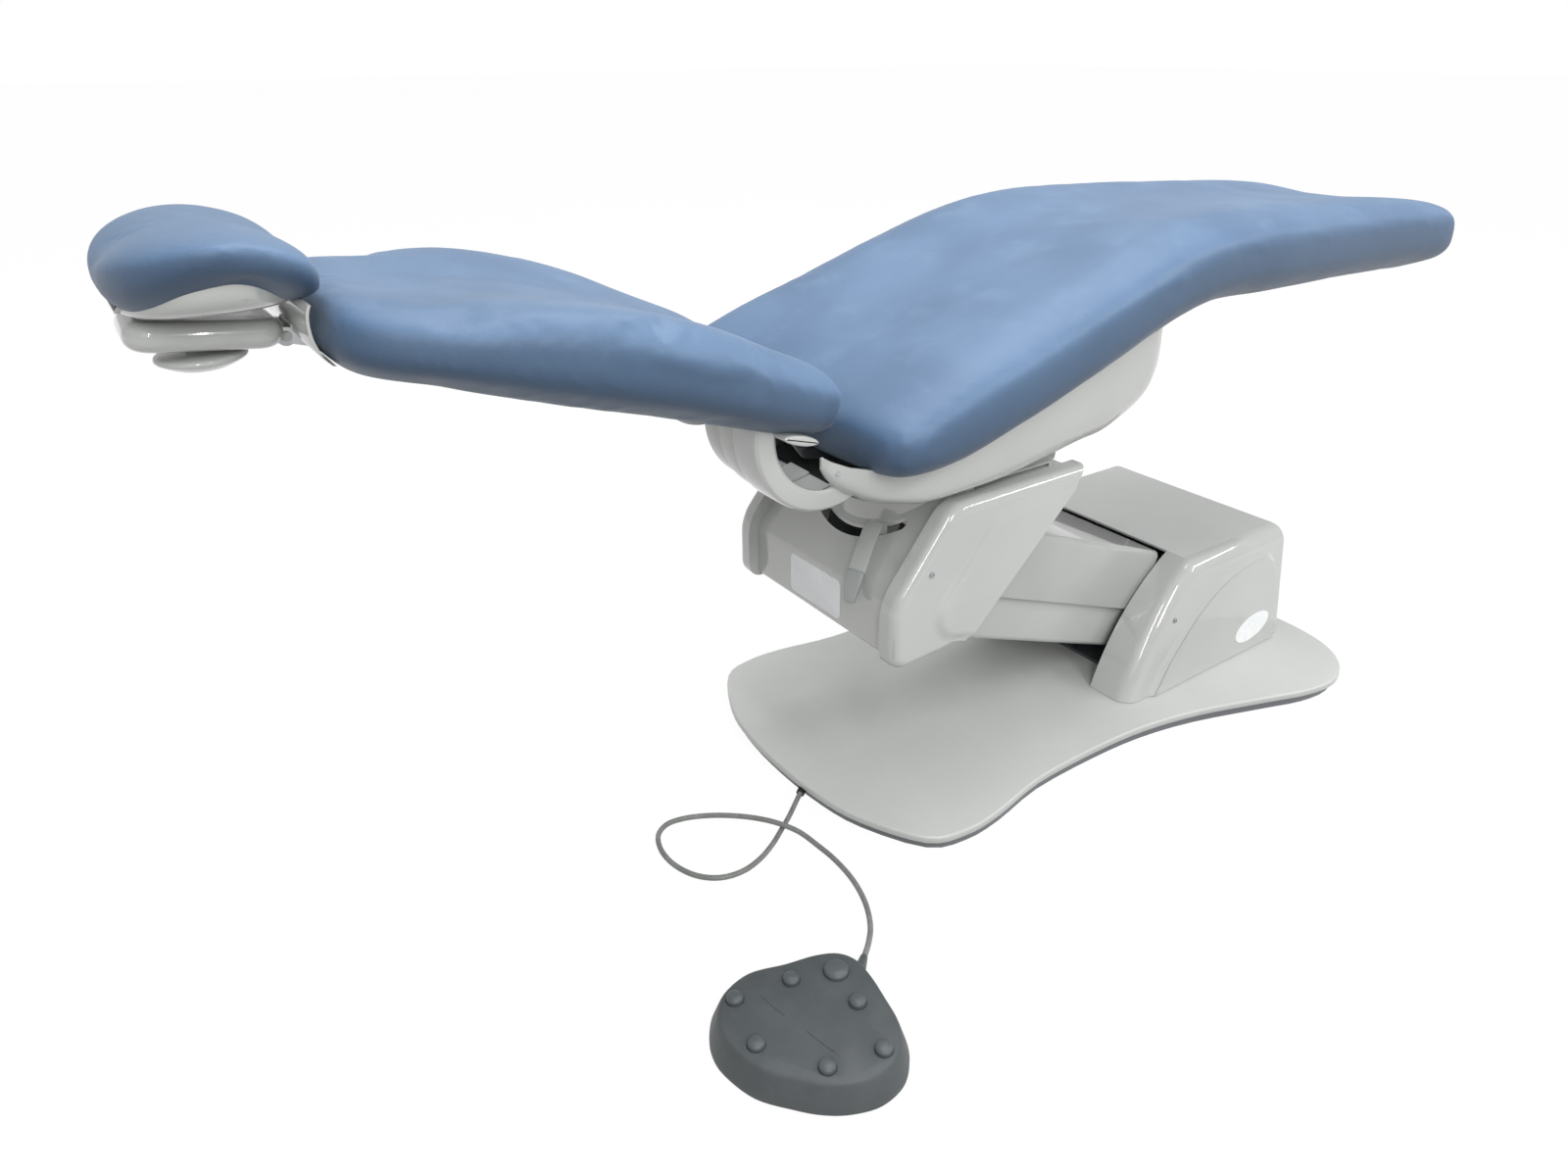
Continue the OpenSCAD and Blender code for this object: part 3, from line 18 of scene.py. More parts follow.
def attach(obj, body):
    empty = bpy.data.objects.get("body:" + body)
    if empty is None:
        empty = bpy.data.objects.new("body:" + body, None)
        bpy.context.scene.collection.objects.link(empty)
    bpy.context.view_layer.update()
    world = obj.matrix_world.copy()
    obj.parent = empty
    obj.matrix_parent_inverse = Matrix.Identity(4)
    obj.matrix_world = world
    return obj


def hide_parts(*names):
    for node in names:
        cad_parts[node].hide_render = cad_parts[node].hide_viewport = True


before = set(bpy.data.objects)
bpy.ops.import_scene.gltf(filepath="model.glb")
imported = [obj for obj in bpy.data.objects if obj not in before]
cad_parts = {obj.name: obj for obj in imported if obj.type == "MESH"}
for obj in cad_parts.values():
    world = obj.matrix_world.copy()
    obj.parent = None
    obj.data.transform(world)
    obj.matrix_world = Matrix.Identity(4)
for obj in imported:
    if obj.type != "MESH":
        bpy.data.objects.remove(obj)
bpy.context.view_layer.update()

MM = 0.001
PHOTO_WIDTH = 1600
PHOTO_HEIGHT = 1200
WELD = 0.00002

Point2 = tuple[float, float]
Point3 = tuple[float, float, float]
Colour = tuple[float, float, float]
Points = Sequence[Sequence[float]]
Piece = bpy.types.Object
Material = bpy.types.Material

logging.basicConfig(level=logging.INFO, format="%(message)s")
log = logging.getLogger("chair")


class Body(Enum):
    """Bodies of the CAD frame that the pieces ride on."""

    BASE = "base"
    LOWER_LINK = "lower_link"
    UPPER_LINK = "upper_link"
    HEAD = "head"
    BRAKE_LEVER = "brake_lever"
    SEAT = "seat"
    BACK = "back"
    HEADREST_BOX = "headrest_box"
    HEADREST = "headrest"
    HEADREST_KNOB = "headrest_knob"
    BUTTON_1 = "button_1"
    BUTTON_2 = "button_2"
    BUTTON_3 = "button_3"
    BUTTON_4 = "button_4"
    BUTTON_5 = "button_5"
    BUTTON_6 = "button_6"
    BIG_BUTTON = "big_button"


class Slot(Enum):
    """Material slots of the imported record."""

    COVER = "cover_paint"
    ARM = "arm_paint"
    PLATE = "plate_paint"
    SKIRT = "skirt"
    FRAME = "frame_steel"
    SHAFT = "shaft_steel"
    UPHOLSTERY = "upholstery"
    POD = "pod_plastic"
    CORD = "cord_jacket"
    DARK = "dark_plastic"


# Shader values as Python expressions


def linear(colour: Sequence[float]) -> tuple[float, float, float, float]:
    """Turn an 8-bit screen colour into the linear colour that a socket takes.

    Args:
        colour: Red, green and blue from 0 to 255.

    Returns:
        Linear red, green, blue and an alpha of 1.
    """
    out = []
    for value in colour:
        share = value / 255
        out.append(share / 12.92 if share <= 0.04045 else ((share + 0.055) / 1.055) ** 2.4)
    return (out[0], out[1], out[2], 1.0)


class Wire:
    """An output socket that Python's operators add Math nodes to."""

    def __init__(self, shop: "Shop", socket: bpy.types.NodeSocket | None) -> None:
        """Keep the socket and the shop whose tree it is in."""
        self.shop = shop
        self.socket = socket

    def _math(self, operation: str, *values: "Wire | float") -> "Wire":
        """Add one Math node on these values."""
        inputs = {index: value for index, value in enumerate(values)}
        return self.shop.node("ShaderNodeMath", {"operation": operation}, inputs)

    def __add__(self, other: "Wire | float") -> "Wire":
        """Sum of two values."""
        return self._math("ADD", self, other)

    __radd__ = __add__

    def __sub__(self, other: "Wire | float") -> "Wire":
        """This value less another."""
        return self._math("SUBTRACT", self, other)

    def __rsub__(self, other: float) -> "Wire":
        """A number less this value."""
        return self._math("SUBTRACT", other, self)

    def __mul__(self, other: "Wire | float") -> "Wire":
        """Product of two values."""
        return self._math("MULTIPLY", self, other)

    __rmul__ = __mul__

    def __pow__(self, other: float) -> "Wire":
        """This value to a power."""
        return self._math("POWER", self, other)

    def most(self, other: float) -> "Wire":
        """The larger of this value and another."""
        return self._math("MAXIMUM", self, other)

    def ramp(self, low: float, high: float) -> "Wire":
        """Rise smoothly from 0 at low to 1 at high.

        Args:
            low: Value at which the result starts to rise.
            high: Value at which the result reaches 1.

        Returns:
            The smoothed share.
        """
        return self.shop.node(
            "ShaderNodeMapRange",
            {"interpolation_type": "SMOOTHSTEP"},
            {"Value": self, "From Min": low, "From Max": high, "To Min": 0.0, "To Max": 1.0},
        )


class Shop:
    """One material's node tree."""

    def __init__(self, name: str) -> None:
        """Start an empty material of that name."""
        self.material = bpy.data.materials.new(name)
        self.material.use_nodes = True
        self.tree = self.material.node_tree
        self.tree.nodes.clear()

    def node(
        self,
        kind: str,
        settings: dict[str, object] | None = None,
        values: dict[str | int, object] | None = None,
        out: str | int = 0,
    ) -> Wire:
        """Add a node, set its options first, and then fill its sockets.

        Args:
            kind: Blender's name of the node's type.
            settings: Attributes of the node, such as a Math node's operation.
            values: A number, colour or Wire for each named or numbered socket.
            out: The output that the Wire stands for.

        Returns:
            The chosen output.
        """
        made = self.tree.nodes.new(kind)
        for key, value in (settings or {}).items():
            setattr(made, key, value)
        for key, value in (values or {}).items():
            if isinstance(value, Wire):
                self.tree.links.new(value.socket, made.inputs[key])
            else:
                made.inputs[key].default_value = value
        return Wire(self, made.outputs[out] if len(made.outputs) else None)

    def place(self) -> Wire:
        """Object coordinates, in metres of the chair's own frame."""
        return self.node("ShaderNodeTexCoord", out="Object")

    def roll(self) -> Wire:
        """How far a cushion's surface faces down, 0 on its top and 1 underneath; the vinyl's painted shade
        follows it.
        """
        return self.part(self.node("ShaderNodeUVMap", {"uv_map": "roll"}), "X")

    def noise(self, at: Wire, scale: float, detail: float = 3.0, rough: float = 0.5) -> Wire:
        """Noise from 0 to 1.

        Args:
            at: Coordinates.
            scale: Features in a metre.
            detail: Octaves.
            rough: Share that each octave keeps.

        Returns:
            The noise value.
        """
        return self.node(
            "ShaderNodeTexNoise",
            {"noise_dimensions": "3D"},
            {"Vector": at, "Scale": scale, "Detail": detail, "Roughness": rough},
        )

    def cells(self, at: Wire, scale: float) -> Wire:
        """Distance to the nearest border of small rounded cells."""
        return self.node(
            "ShaderNodeTexVoronoi",
            {"feature": "DISTANCE_TO_EDGE"},
            {"Vector": at, "Scale": scale, "Randomness": 1.0},
        )

    def part(self, at: Wire, axis: str) -> Wire:
        """One coordinate of a vector, X, Y or Z."""
        return self.node("ShaderNodeSeparateXYZ", {}, {0: at}, out=axis)

    def tint(self, share: Wire, first: Sequence[float], second: Sequence[float]) -> Wire:
        """Mix two screen colours.

        Args:
            share: Share of the second colour.
            first: Red, green and blue from 0 to 255.
            second: The colour at a share of 1.

        Returns:
            The mixed colour.
        """
        return self.blend(share, linear(first), linear(second))

    def blend(self, share: Wire, first: object, second: object) -> Wire:
        """Mix two linear colours or colour links."""
        made = self.tree.nodes.new("ShaderNodeMix")
        made.data_type = "RGBA"
        for index, value in ((0, share), (6, first), (7, second)):
            if isinstance(value, Wire):
                self.tree.links.new(value.socket, made.inputs[index])
            else:
                made.inputs[index].default_value = value
        return Wire(self, made.outputs[2])

    def bump(self, height: Wire, depth: float, strength: float = 1.0, under: Wire | None = None) -> Wire:
        """Normal of a surface with a relief.

        Args:
            height: Height from 0 to 1.
            depth: Height of a full step, in millimetres.
            strength: Share of the relief that shows.
            under: Normal that this relief lies on.

        Returns:
            The normal.
        """
        values: dict[str | int, object] = {"Height": height, "Distance": depth * MM, "Strength": strength}
        if under is not None:
            values["Normal"] = under
        return self.node("ShaderNodeBump", {}, values)

    def finish(self, **sockets: object) -> Material:
        """End the tree in one Principled shader.

        Args:
            **sockets: Values or links, with spaces in socket names written as underscores.

        Returns:
            The material.
        """
        values = {key.replace("_", " "): value for key, value in sockets.items()}
        skin = self.node("ShaderNodeBsdfPrincipled", {}, values)
        self.node("ShaderNodeOutputMaterial", {}, {"Surface": skin})
        return self.material


# Finishes


@dataclass(frozen=True)
class GlossPaint:
    """Gloss paint over moulded plastic, with the faint ripple of a sprayed coat."""

    name: str
    colour: Colour = (195, 197, 194)
    shade: Colour = (187, 189, 186)
    roughness: float = 0.1
    ripple: float = 0.03

    def make(self) -> Material:
        """Build the material."""
        shop = Shop(self.name)
        at = shop.place()
        cloud = shop.noise(at, 6, 2)
        speck = shop.noise(at, 900, 2)
        dust = shop.noise(at, 34, 5, 0.62).ramp(0.5, 0.75)
        low = 1 - shop.part(at, "Z").ramp(0.0, 0.5)
        share = cloud.ramp(0.3, 0.7) * 0.6 + speck * 0.15 + low * dust * 0.25
        colour = shop.tint(share, self.colour, self.shade)
        ripple = shop.noise(at, 55, 2)
        peel = shop.bump(shop.noise(at, 420, 2), 0.03, 0.3, shop.bump(ripple, self.ripple, 0.4))
        return shop.finish(
            Base_Color=colour,
            Roughness=self.roughness + dust * 0.1 + speck * 0.03,
            Normal=peel,
            Coat_Weight=0.7,
            Coat_Roughness=0.04,
        )


@dataclass(frozen=True)
class SatinPaint:
    """Powder paint on a steel plate: fine grain, rubbed lighter here and there by feet."""

    name: str
    colour: Colour = (199, 201, 198)
    worn: Colour = (209, 211, 208)
    roughness: float = 0.38
    grain: float = 0.06

    def make(self) -> Material:
        """Build the material."""
        shop = Shop(self.name)
        at = shop.place()
        cloud = shop.noise(at, 5, 4, 0.6)
        scuff = shop.noise(at, 45, 6, 0.7).ramp(0.55, 0.8)
        grain = shop.noise(at, 1500, 2)
        colour = shop.tint(cloud.ramp(0.35, 0.7) * 0.5 + scuff * 0.35 + grain * 0.1, self.colour, self.worn)
        return shop.finish(
            Base_Color=colour,
            Roughness=self.roughness + scuff * 0.12 - cloud * 0.08,
            Normal=shop.bump(grain, self.grain, 0.5),
            Coat_Weight=0.12,
            Coat_Roughness=0.3,
        )


@dataclass(frozen=True)
class Vinyl:
    """Soft upholstery vinyl with a pebbled leather grain and fine creases, with painted shade darkening the
    underside of each cushion's roll.
    """

    name: str
    colour: Colour = (96, 124, 157)
    deep: Colour = (84, 111, 143)
    pale: Colour = (110, 136, 167)
    # painted shade: the dark tone laid under the roll of each cushion's edge
    under: Colour = (44, 60, 79)
    roughness: float = 0.4
    grain: float = 0.16

    def make(self) -> Material:
        """Build the material."""
        shop = Shop(self.name)
        at = shop.place()
        cloud = shop.noise(at, 7, 3)
        pebble = shop.cells(at, 620).ramp(0.0, 0.35)
        fine = shop.noise(at, 1400, 2)
        crease = shop.noise(at, 60, 5, 0.62)
        rubbed = shop.noise(at, 16, 4, 0.6).ramp(0.52, 0.72)
        base = shop.tint(cloud.ramp(0.3, 0.72), self.colour, self.deep)
        rubbed_and_shaded = shop.blend(rubbed * 0.45, base, linear(self.pale))
        # painted shade: darker towards the downward-facing underside of the roll, masked by the 'roll' UV map
        rubbed_and_shaded = shop.blend(shop.roll().ramp(0.2, 0.72) * 0.8, rubbed_and_shaded, linear(self.under))
        colour = shop.blend((1 - pebble) * 0.22, rubbed_and_shaded, linear(self.deep))
        soft = shop.bump(crease, 0.5, 0.25)
        return shop.finish(
            Base_Color=colour,
            Roughness=self.roughness + (1 - pebble) * 0.12 + rubbed * 0.04,
            Normal=shop.bump(pebble + fine * 0.25, self.grain, 0.5, soft),
            Specular_IOR_Level=0.42,
            Sheen_Weight=0.1,
            Sheen_Roughness=0.4,
        )


@dataclass(frozen=True)
class Moulded:
    """Moulded plastic or rubber with a spark-eroded grain."""

    name: str
    colour: Colour = (72, 77, 79)
    pale: Colour = (86, 91, 93)
    roughness: float = 0.55
    grain: float = 0.12
    grain_scale: float = 900

    def make(self) -> Material:
        """Build the material."""
        shop = Shop(self.name)
        at = shop.place()
        cloud = shop.noise(at, 22, 4, 0.6)
        grain = shop.noise(at, self.grain_scale, 3, 0.6)
        scuff = shop.noise(at, 120, 5, 0.7).ramp(0.58, 0.8)
        colour = shop.tint(cloud.ramp(0.35, 0.7) * 0.5 + scuff * 0.4, self.colour, self.pale)
        return shop.finish(
            Base_Color=colour,
            Roughness=self.roughness + scuff * 0.1 - cloud * 0.06,
            Normal=shop.bump(grain, self.grain, 0.6),
        )


@dataclass(frozen=True)
class Steel:
    """Ground or plated steel with fine turning lines and handling marks."""

    name: str
    colour: Colour = (190, 192, 194)
    dull: Colour = (150, 152, 155)
    roughness: float = 0.26

    def make(self) -> Material:
        """Build the material."""
        shop = Shop(self.name)
        at = shop.place()
        lines = shop.node("ShaderNodeMapping", {}, {"Vector": at, "Scale": (60, 1200, 60)})
        brushed = shop.noise(lines, 1, 3, 0.6)
        smear = shop.noise(at, 40, 4, 0.6).ramp(0.45, 0.75)
        return shop.finish(
            Base_Color=shop.tint(smear * 0.6 + brushed * 0.3, self.colour, self.dull),
            Metallic=0.95,
            Roughness=self.roughness + smear * 0.16 + brushed * 0.05,
            Normal=shop.bump(brushed, 0.02, 0.35),
        )


@dataclass(frozen=True)
class Castwork:
    """Dark textured paint on welded frames."""

    name: str
    colour: Colour = (58, 61, 64)
    pale: Colour = (84, 87, 90)
    roughness: float = 0.5

    def make(self) -> Material:
        """Build the material."""
        shop = Shop(self.name)
        at = shop.place()
        blot = shop.noise(at, 26, 5, 0.62)
        grit = shop.cells(at, 480).ramp(0.0, 0.3)
        return shop.finish(
            Base_Color=shop.tint(blot.ramp(0.4, 0.75) * 0.7 + (1 - grit) * 0.2, self.colour, self.pale),
            Roughness=self.roughness + blot * 0.1,
            Normal=shop.bump(grit, 0.08, 0.5),
        )


@dataclass(frozen=True)
class Plywood:
    """Birch plywood with its plies on the edge and long grain on the face."""

    name: str
    colour: Colour = (196, 166, 122)
    dark: Colour = (150, 118, 80)

    def make(self) -> Material:
        """Build the material."""
        shop = Shop(self.name)
        at = shop.place()
        long_way = shop.node("ShaderNodeMapping", {}, {"Vector": at, "Scale": (5, 90, 60)})
        grain = shop.noise(long_way, 1, 6, 0.66)
        pore = shop.node("ShaderNodeMapping", {}, {"Vector": at, "Scale": (30, 900, 900)})
        pores = shop.noise(pore, 1, 2)
        return shop.finish(
            Base_Color=shop.tint(grain.ramp(0.3, 0.75) * 0.8 + pores * 0.2, self.colour, self.dark),
            Roughness=0.55 + grain * 0.15,
            Normal=shop.bump(pores, 0.08, 0.5),
        )


@dataclass(frozen=True)
class CordJacket:
    """Slightly glossy PVC jacket of the cord, with faint wear."""

    name: str
    colour: Colour = (122, 124, 122)
    worn: Colour = (140, 142, 140)

    def make(self) -> Material:
        """Build the material."""
        shop = Shop(self.name)
        at = shop.place()
        blot = shop.noise(at, 70, 4, 0.6)
        fine = shop.noise(at, 1600, 2)
        return shop.finish(
            Base_Color=shop.tint(blot.ramp(0.4, 0.7) * 0.8 + fine * 0.1, self.colour, self.worn),
            Roughness=0.42 + blot * 0.12,
            Normal=shop.bump(fine, 0.05, 0.5),
        )


Finish = GlossPaint | SatinPaint | Vinyl | Moulded | Steel | Castwork | Plywood | CordJacket


def finished(kind: Finish) -> Material:
    """A field of the palette that makes this finish."""
    return field(default_factory=kind.make)


@dataclass(frozen=True)
class Palette:
    """Every finish of the chair, made once."""

    cover: Material = finished(GlossPaint("gloss cover paint"))
    arm: Material = finished(GlossPaint("arm paint", (184, 186, 183), (172, 174, 171), 0.3))
    plate: Material = finished(SatinPaint("plate paint"))
    skirt: Material = finished(SatinPaint("skirt paint", (112, 114, 118), (128, 130, 134), 0.5))
    vinyl: Material = finished(Vinyl("upholstery vinyl"))
    pod: Material = finished(Moulded("foot control rubber"))
    button: Material = finished(Moulded("button rubber", (78, 84, 86), (94, 100, 102), 0.45, 0.06))
    dark: Material = finished(Moulded("dark plastic", (34, 36, 38), (52, 54, 56), 0.5))
    label: Material = finished(
        Moulded("bare label plate", (246, 248, 249), (238, 240, 242), 0.3, 0.03)
    )
    lever: Material = finished(Moulded("lever grip", (158, 162, 160), (172, 176, 174), 0.42, 0.05))
    rubber: Material = finished(Moulded("foot rubber", (30, 30, 31), (46, 46, 48), 0.75, 0.2, 500))
    board: Material = finished(Moulded("circuit board", (30, 84, 52), (44, 104, 66), 0.35, 0.03))
    zinc: Material = finished(Steel("zinc plated steel", (176, 180, 184), (140, 146, 152), 0.34))
    steel: Material = finished(Steel("ground steel"))
    casting: Material = finished(Castwork("frame paint"))
    wood: Material = finished(Plywood("birch plywood"))
    cord: Material = finished(CordJacket("cord jacket"))


# Mesh making


def metres(point: Sequence[float]) -> Vector:
    """A point in millimetres as a vector in metres."""
    return Vector(point) * MM


def smooth_line(points: Points, steps: int, closed: bool = False) -> list[Vector]:
    """Pass a smooth curve through points, as the part's source does.

    Args:
        points: Points that the curve goes through.
        steps: Points from each to the next.
        closed: True for a loop.

    Returns:
        The points along the curve.
    """
    given = [Vector(point) for point in points]
    count = len(given)

    def at(index: int) -> Vector:
        """The point of an index, past the ends too."""
        return given[index % count] if closed else given[max(0, min(count - 1, index))]

    line = []
    for i in range(count if closed else count - 1):
        a, b, c, d = at(i - 1), at(i), at(i + 1), at(i + 2)
        for k in range(steps):
            t = k / steps
            bend = (2 * a - 5 * b + 4 * c - d) * t * t
            line.append(0.5 * (2 * b + (c - a) * t + bend + (3 * b - a - 3 * c + d) * t * t * t))
    return line if closed else [*line, given[-1]]


def tilted(pivot: Point2, rise: float, s: float, across: float, up: float) -> Point3:
    """A point along a line that rises from a pivot, across it and square to it.

    Args:
        pivot: Where the line starts, as X and Z.
        rise: How steeply it rises, in degrees.
        s: Distance along the line.
        across: Distance to the far side.
        up: Height square to the line.

    Returns:
        The point in the row frame.
    """
    a = math.radians(rise)
    x = pivot[0] - s * math.cos(a) + up * math.sin(a)
    return (x, across, pivot[1] + s * math.sin(a) + up * math.cos(a))


def activate(obj: Piece) -> None:
    """Make an object the only selected one, and the active one."""
    bpy.ops.object.select_all(action="DESELECT")
    obj.select_set(True)
    bpy.context.view_layer.objects.active = obj


def edit(obj: Piece) -> None:
    """Open an object's mesh in edit mode with nothing selected."""
    activate(obj)
    bpy.ops.object.mode_set(mode="EDIT")
    bpy.ops.mesh.select_all(action="DESELECT")


def close_edit() -> None:
    """Leave edit mode."""
    bpy.ops.object.mode_set(mode="OBJECT")


def apply_modifier(obj: Piece, kind: str, **settings: object) -> None:
    """Add a modifier with these settings and apply it.

    Args:
        obj: The object.
        kind: Blender's name of the modifier's type.
        **settings: Attributes of the modifier.
    """
    activate(obj)
    made = obj.modifiers.new(kind.lower(), kind)
    for key, value in settings.items():
        setattr(made, key, value)
    bpy.ops.object.modifier_apply(modifier=made.name)


def settle(obj: Piece, angle: float = 35.0) -> None:
    """Put an object's place into its mesh, turn its faces outwards and shade it.

    Args:
        obj: The object.
        angle: Edges sharper than this many degrees stay sharp.
    """
    activate(obj)
    bpy.ops.object.transform_apply(location=True, rotation=True, scale=True)
    edit(obj)
    face_outwards(weld=True)
    bpy.ops.object.shade_smooth_by_angle(angle=math.radians(angle))


def dress(
    obj: Piece,
    material: Material,
    body: Body,
    nodes: Sequence[str] = (),
) -> Piece:
    """Give a finished piece its material, the body that it rides on and the nodes that it stands for.

    Args:
        obj: The finished piece.
        material: Its finish.
        body: The CAD body that it moves with.
        nodes: CAD nodes that it replaces.

    Returns:
        The same piece.
    """
    obj.data.materials.clear()
    obj.data.materials.append(material)
    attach(obj, body.value)
    if nodes:
        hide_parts(*nodes)
    log.info("made %s on %s", obj.name, body.value)
    return obj


def mesh_from(
    name: str, verts: Points, faces: Sequence[Sequence[int]]
) -> Piece:
    """Make a mesh object from points in millimetres, for padded pieces and drawn sections.

    Args:
        name: Name of the object.
        verts: Points in millimetres.
        faces: Rings of point numbers.

    Returns:
        The new object.
    """
    data = bpy.data.meshes.new(name)
    data.from_pydata([metres(v) for v in verts], [], [list(f) for f in faces])
    data.update()
    obj = bpy.data.objects.new(name, data)
    bpy.context.scene.collection.objects.link(obj)
    return obj


def draw_outline(name: str, points: Points) -> Piece:
    """Draw a closed outline as one face, by extruding a single point along it.

    Args:
        name: Name of the new object.
        points: Corners in millimetres, in order.

    Returns:
        The object, in edit mode with its face selected.
    """
    bpy.ops.object.select_all(action="DESELECT")
    bpy.ops.mesh.primitive_plane_add(size=0.001, location=metres(points[0]))
    obj = bpy.context.object
    obj.name = name
    bpy.ops.object.transform_apply(location=True, rotation=True, scale=True)
    bpy.ops.object.mode_set(mode="EDIT")
    bpy.ops.mesh.select_mode(type="VERT")
    bpy.ops.mesh.select_all(action="SELECT")
    bpy.ops.mesh.merge(type="CENTER")
    for here, there in zip(points, points[1:]):
        step = metres(there) - metres(here)
        bpy.ops.mesh.extrude_vertices_move(TRANSFORM_OT_translate={"value": step})
    bpy.ops.mesh.select_all(action="SELECT")
    bpy.ops.mesh.edge_face_add()
    return obj


def face_outwards(weld: bool = False) -> None:
    """Turn every face of the open mesh outwards, after a weld if asked, and leave edit mode."""
    bpy.ops.mesh.select_all(action="SELECT")
    if weld:
        bpy.ops.mesh.remove_doubles(threshold=WELD)
    bpy.ops.mesh.normals_make_consistent(inside=False)
    close_edit()


def push_out(step: Sequence[float]) -> None:
    """Extrude the selected region of the open mesh by a step in millimetres."""
    bpy.ops.mesh.extrude_region_move(TRANSFORM_OT_translate={"value": metres(step)})


def prism(name: str, points: Points, step: Sequence[float]) -> Piece:
    """Draw an outline and extrude it into a solid.

    Args:
        name: Name of the new object.
        points: Corners in millimetres, in order.
        step: How far the outline is extruded, in millimetres.

    Returns:
        The solid, with its faces pointing outwards.
    """
    obj = draw_outline(name, points)
    push_out(step)
    face_outwards()
    return obj


def pick_edges(obj: Piece, test: Callable[[Vector, Vector], bool]) -> None:
    """Select the edges whose two ends, in millimetres, pass a test, and stay in edit mode."""
    edit(obj)
    bpy.ops.mesh.select_mode(type="EDGE")
    mesh = bmesh.from_edit_mesh(obj.data)
    for edge in mesh.edges:
        edge.select_set(test(edge.verts[0].co / MM, edge.verts[1].co / MM))
    bmesh.update_edit_mesh(obj.data)


def pick_faces(obj: Piece, test: Callable[[Vector, Vector], bool]) -> None:
    """Select the faces whose middle, in millimetres, and normal pass a test, and stay in edit mode."""
    edit(obj)
    bpy.ops.mesh.select_mode(type="FACE")
    mesh = bmesh.from_edit_mesh(obj.data)
    mesh.normal_update()
    for face in mesh.faces:
        face.select_set(test(face.calc_center_median() / MM, face.normal))
    bmesh.update_edit_mesh(obj.data)


def round_off(
    obj: Piece, radius: float, test: Callable[[Vector, Vector], bool], segments: int = 6
) -> None:
    """Bevel the edges that pass a test.

    Args:
        obj: The object.
        radius: Width of the bevel, in millimetres.
        test: Whether an edge between these two points is rounded.
        segments: Faces across the rounding.
    """
    pick_edges(obj, test)
    bpy.ops.mesh.bevel(
        offset=radius * MM, segments=segments, profile=0.5, affect="EDGES", clamp_overlap=False
    )
    close_edit()


def corner_at(x: float, z: float) -> Callable[[Vector, Vector], bool]:
    """A test of whether an edge runs along Y through this corner."""
    return lambda a, b: all(abs(p.x - x) < 0.5 and abs(p.z - z) < 0.5 for p in (a, b))


def take_faces(obj: Piece, test: Callable[[Vector, Vector], bool]) -> None:
    """Delete the faces that pass a test, so that the form is open there."""
    pick_faces(obj, test)
    bpy.ops.mesh.delete(type="FACE")
    close_edit()


def wall(obj: Piece, thick: float, inwards: bool = True) -> None:
    """Give an open form its wall.

    Args:
        obj: The object.
        thick: Thickness in millimetres.
        inwards: True where the outer face stays as it is.
    """
    edit(obj)
    face_outwards(weld=True)
    apply_modifier(
        obj, "SOLIDIFY", thickness=thick * MM, offset=-1 if inwards else 1, use_even_offset=True
    )


def soften(obj: Piece, width: float, segments: int = 3, angle: float = 40) -> None:
    """Round every edge sharper than an angle with a bevel modifier.

    Args:
        obj: The object.
        width: Width of the rounding, in millimetres.
        segments: Faces across it.
        angle: Smallest angle between faces that is rounded, in degrees.
    """
    apply_modifier(
        obj,
        "BEVEL",
        width=width * MM,
        segments=segments,
        limit_method="ANGLE",
        angle_limit=math.radians(angle),
        use_clamp_overlap=True,
    )


def raised(
    name: str, points: Points, out: float, rise: float, run: float
) -> Piece:
    """A low raised panel whose edge swells softly out of a side face.

    Args:
        name: Name of the new object.
        points: Outline on the face, in millimetres.
        out: -1 for a near face and 1 for a far one.
        rise: Height of the panel.
        run: Width of its soft edge.

    Returns:
        The panel.
    """
    obj = draw_outline(name, points)
    push_out((0, out * 0.6, 0))
    steps = 7
    for k in range(steps):
        low, high = k / steps, (k + 1) / steps
        climb = (3 * high**2 - 2 * high**3) - (3 * low**2 - 2 * low**3)
        bpy.ops.mesh.inset(thickness=run / steps * MM, depth=0)
        bpy.ops.transform.translate(value=metres((0, out * rise * climb, 0)))
    face_outwards()
    return obj


def trim(obj: Piece, point: Sequence[float], normal: Sequence[float]) -> None:
    """Cut off and close what lies on the outer side of a plane through a point."""
    edit(obj)
    bpy.ops.mesh.select_all(action="SELECT")
    bpy.ops.mesh.bisect(plane_co=metres(point), plane_no=Vector(normal), clear_outer=True, use_fill=True)
    close_edit()


def cut_away(obj: Piece, *tools: Piece) -> None:
    """Cut other solids out of an object and throw them away."""
    for tool in tools:
        apply_modifier(obj, "BOOLEAN", operation="DIFFERENCE", object=tool, solver="EXACT")
        bpy.data.objects.remove(tool, do_unlink=True)


def join(obj: Piece, *others: Piece) -> Piece:
    """Join other meshes into an object."""
    activate(obj)
    for other in others:
        other.select_set(True)
    bpy.ops.object.join()
    return obj


def block(name: str, low: Sequence[float], high: Sequence[float]) -> Piece:
    """A cutting block between two corners, in millimetres."""
    middle = [(a + b) / 2 for a, b in zip(low, high)]
    bpy.ops.object.select_all(action="DESELECT")
    bpy.ops.mesh.primitive_cube_add(size=1, location=metres(middle))
    obj = bpy.context.object
    obj.name = name
    obj.scale = metres([b - a for a, b in zip(low, high)])
    bpy.ops.object.transform_apply(location=True, rotation=True, scale=True)
    return obj


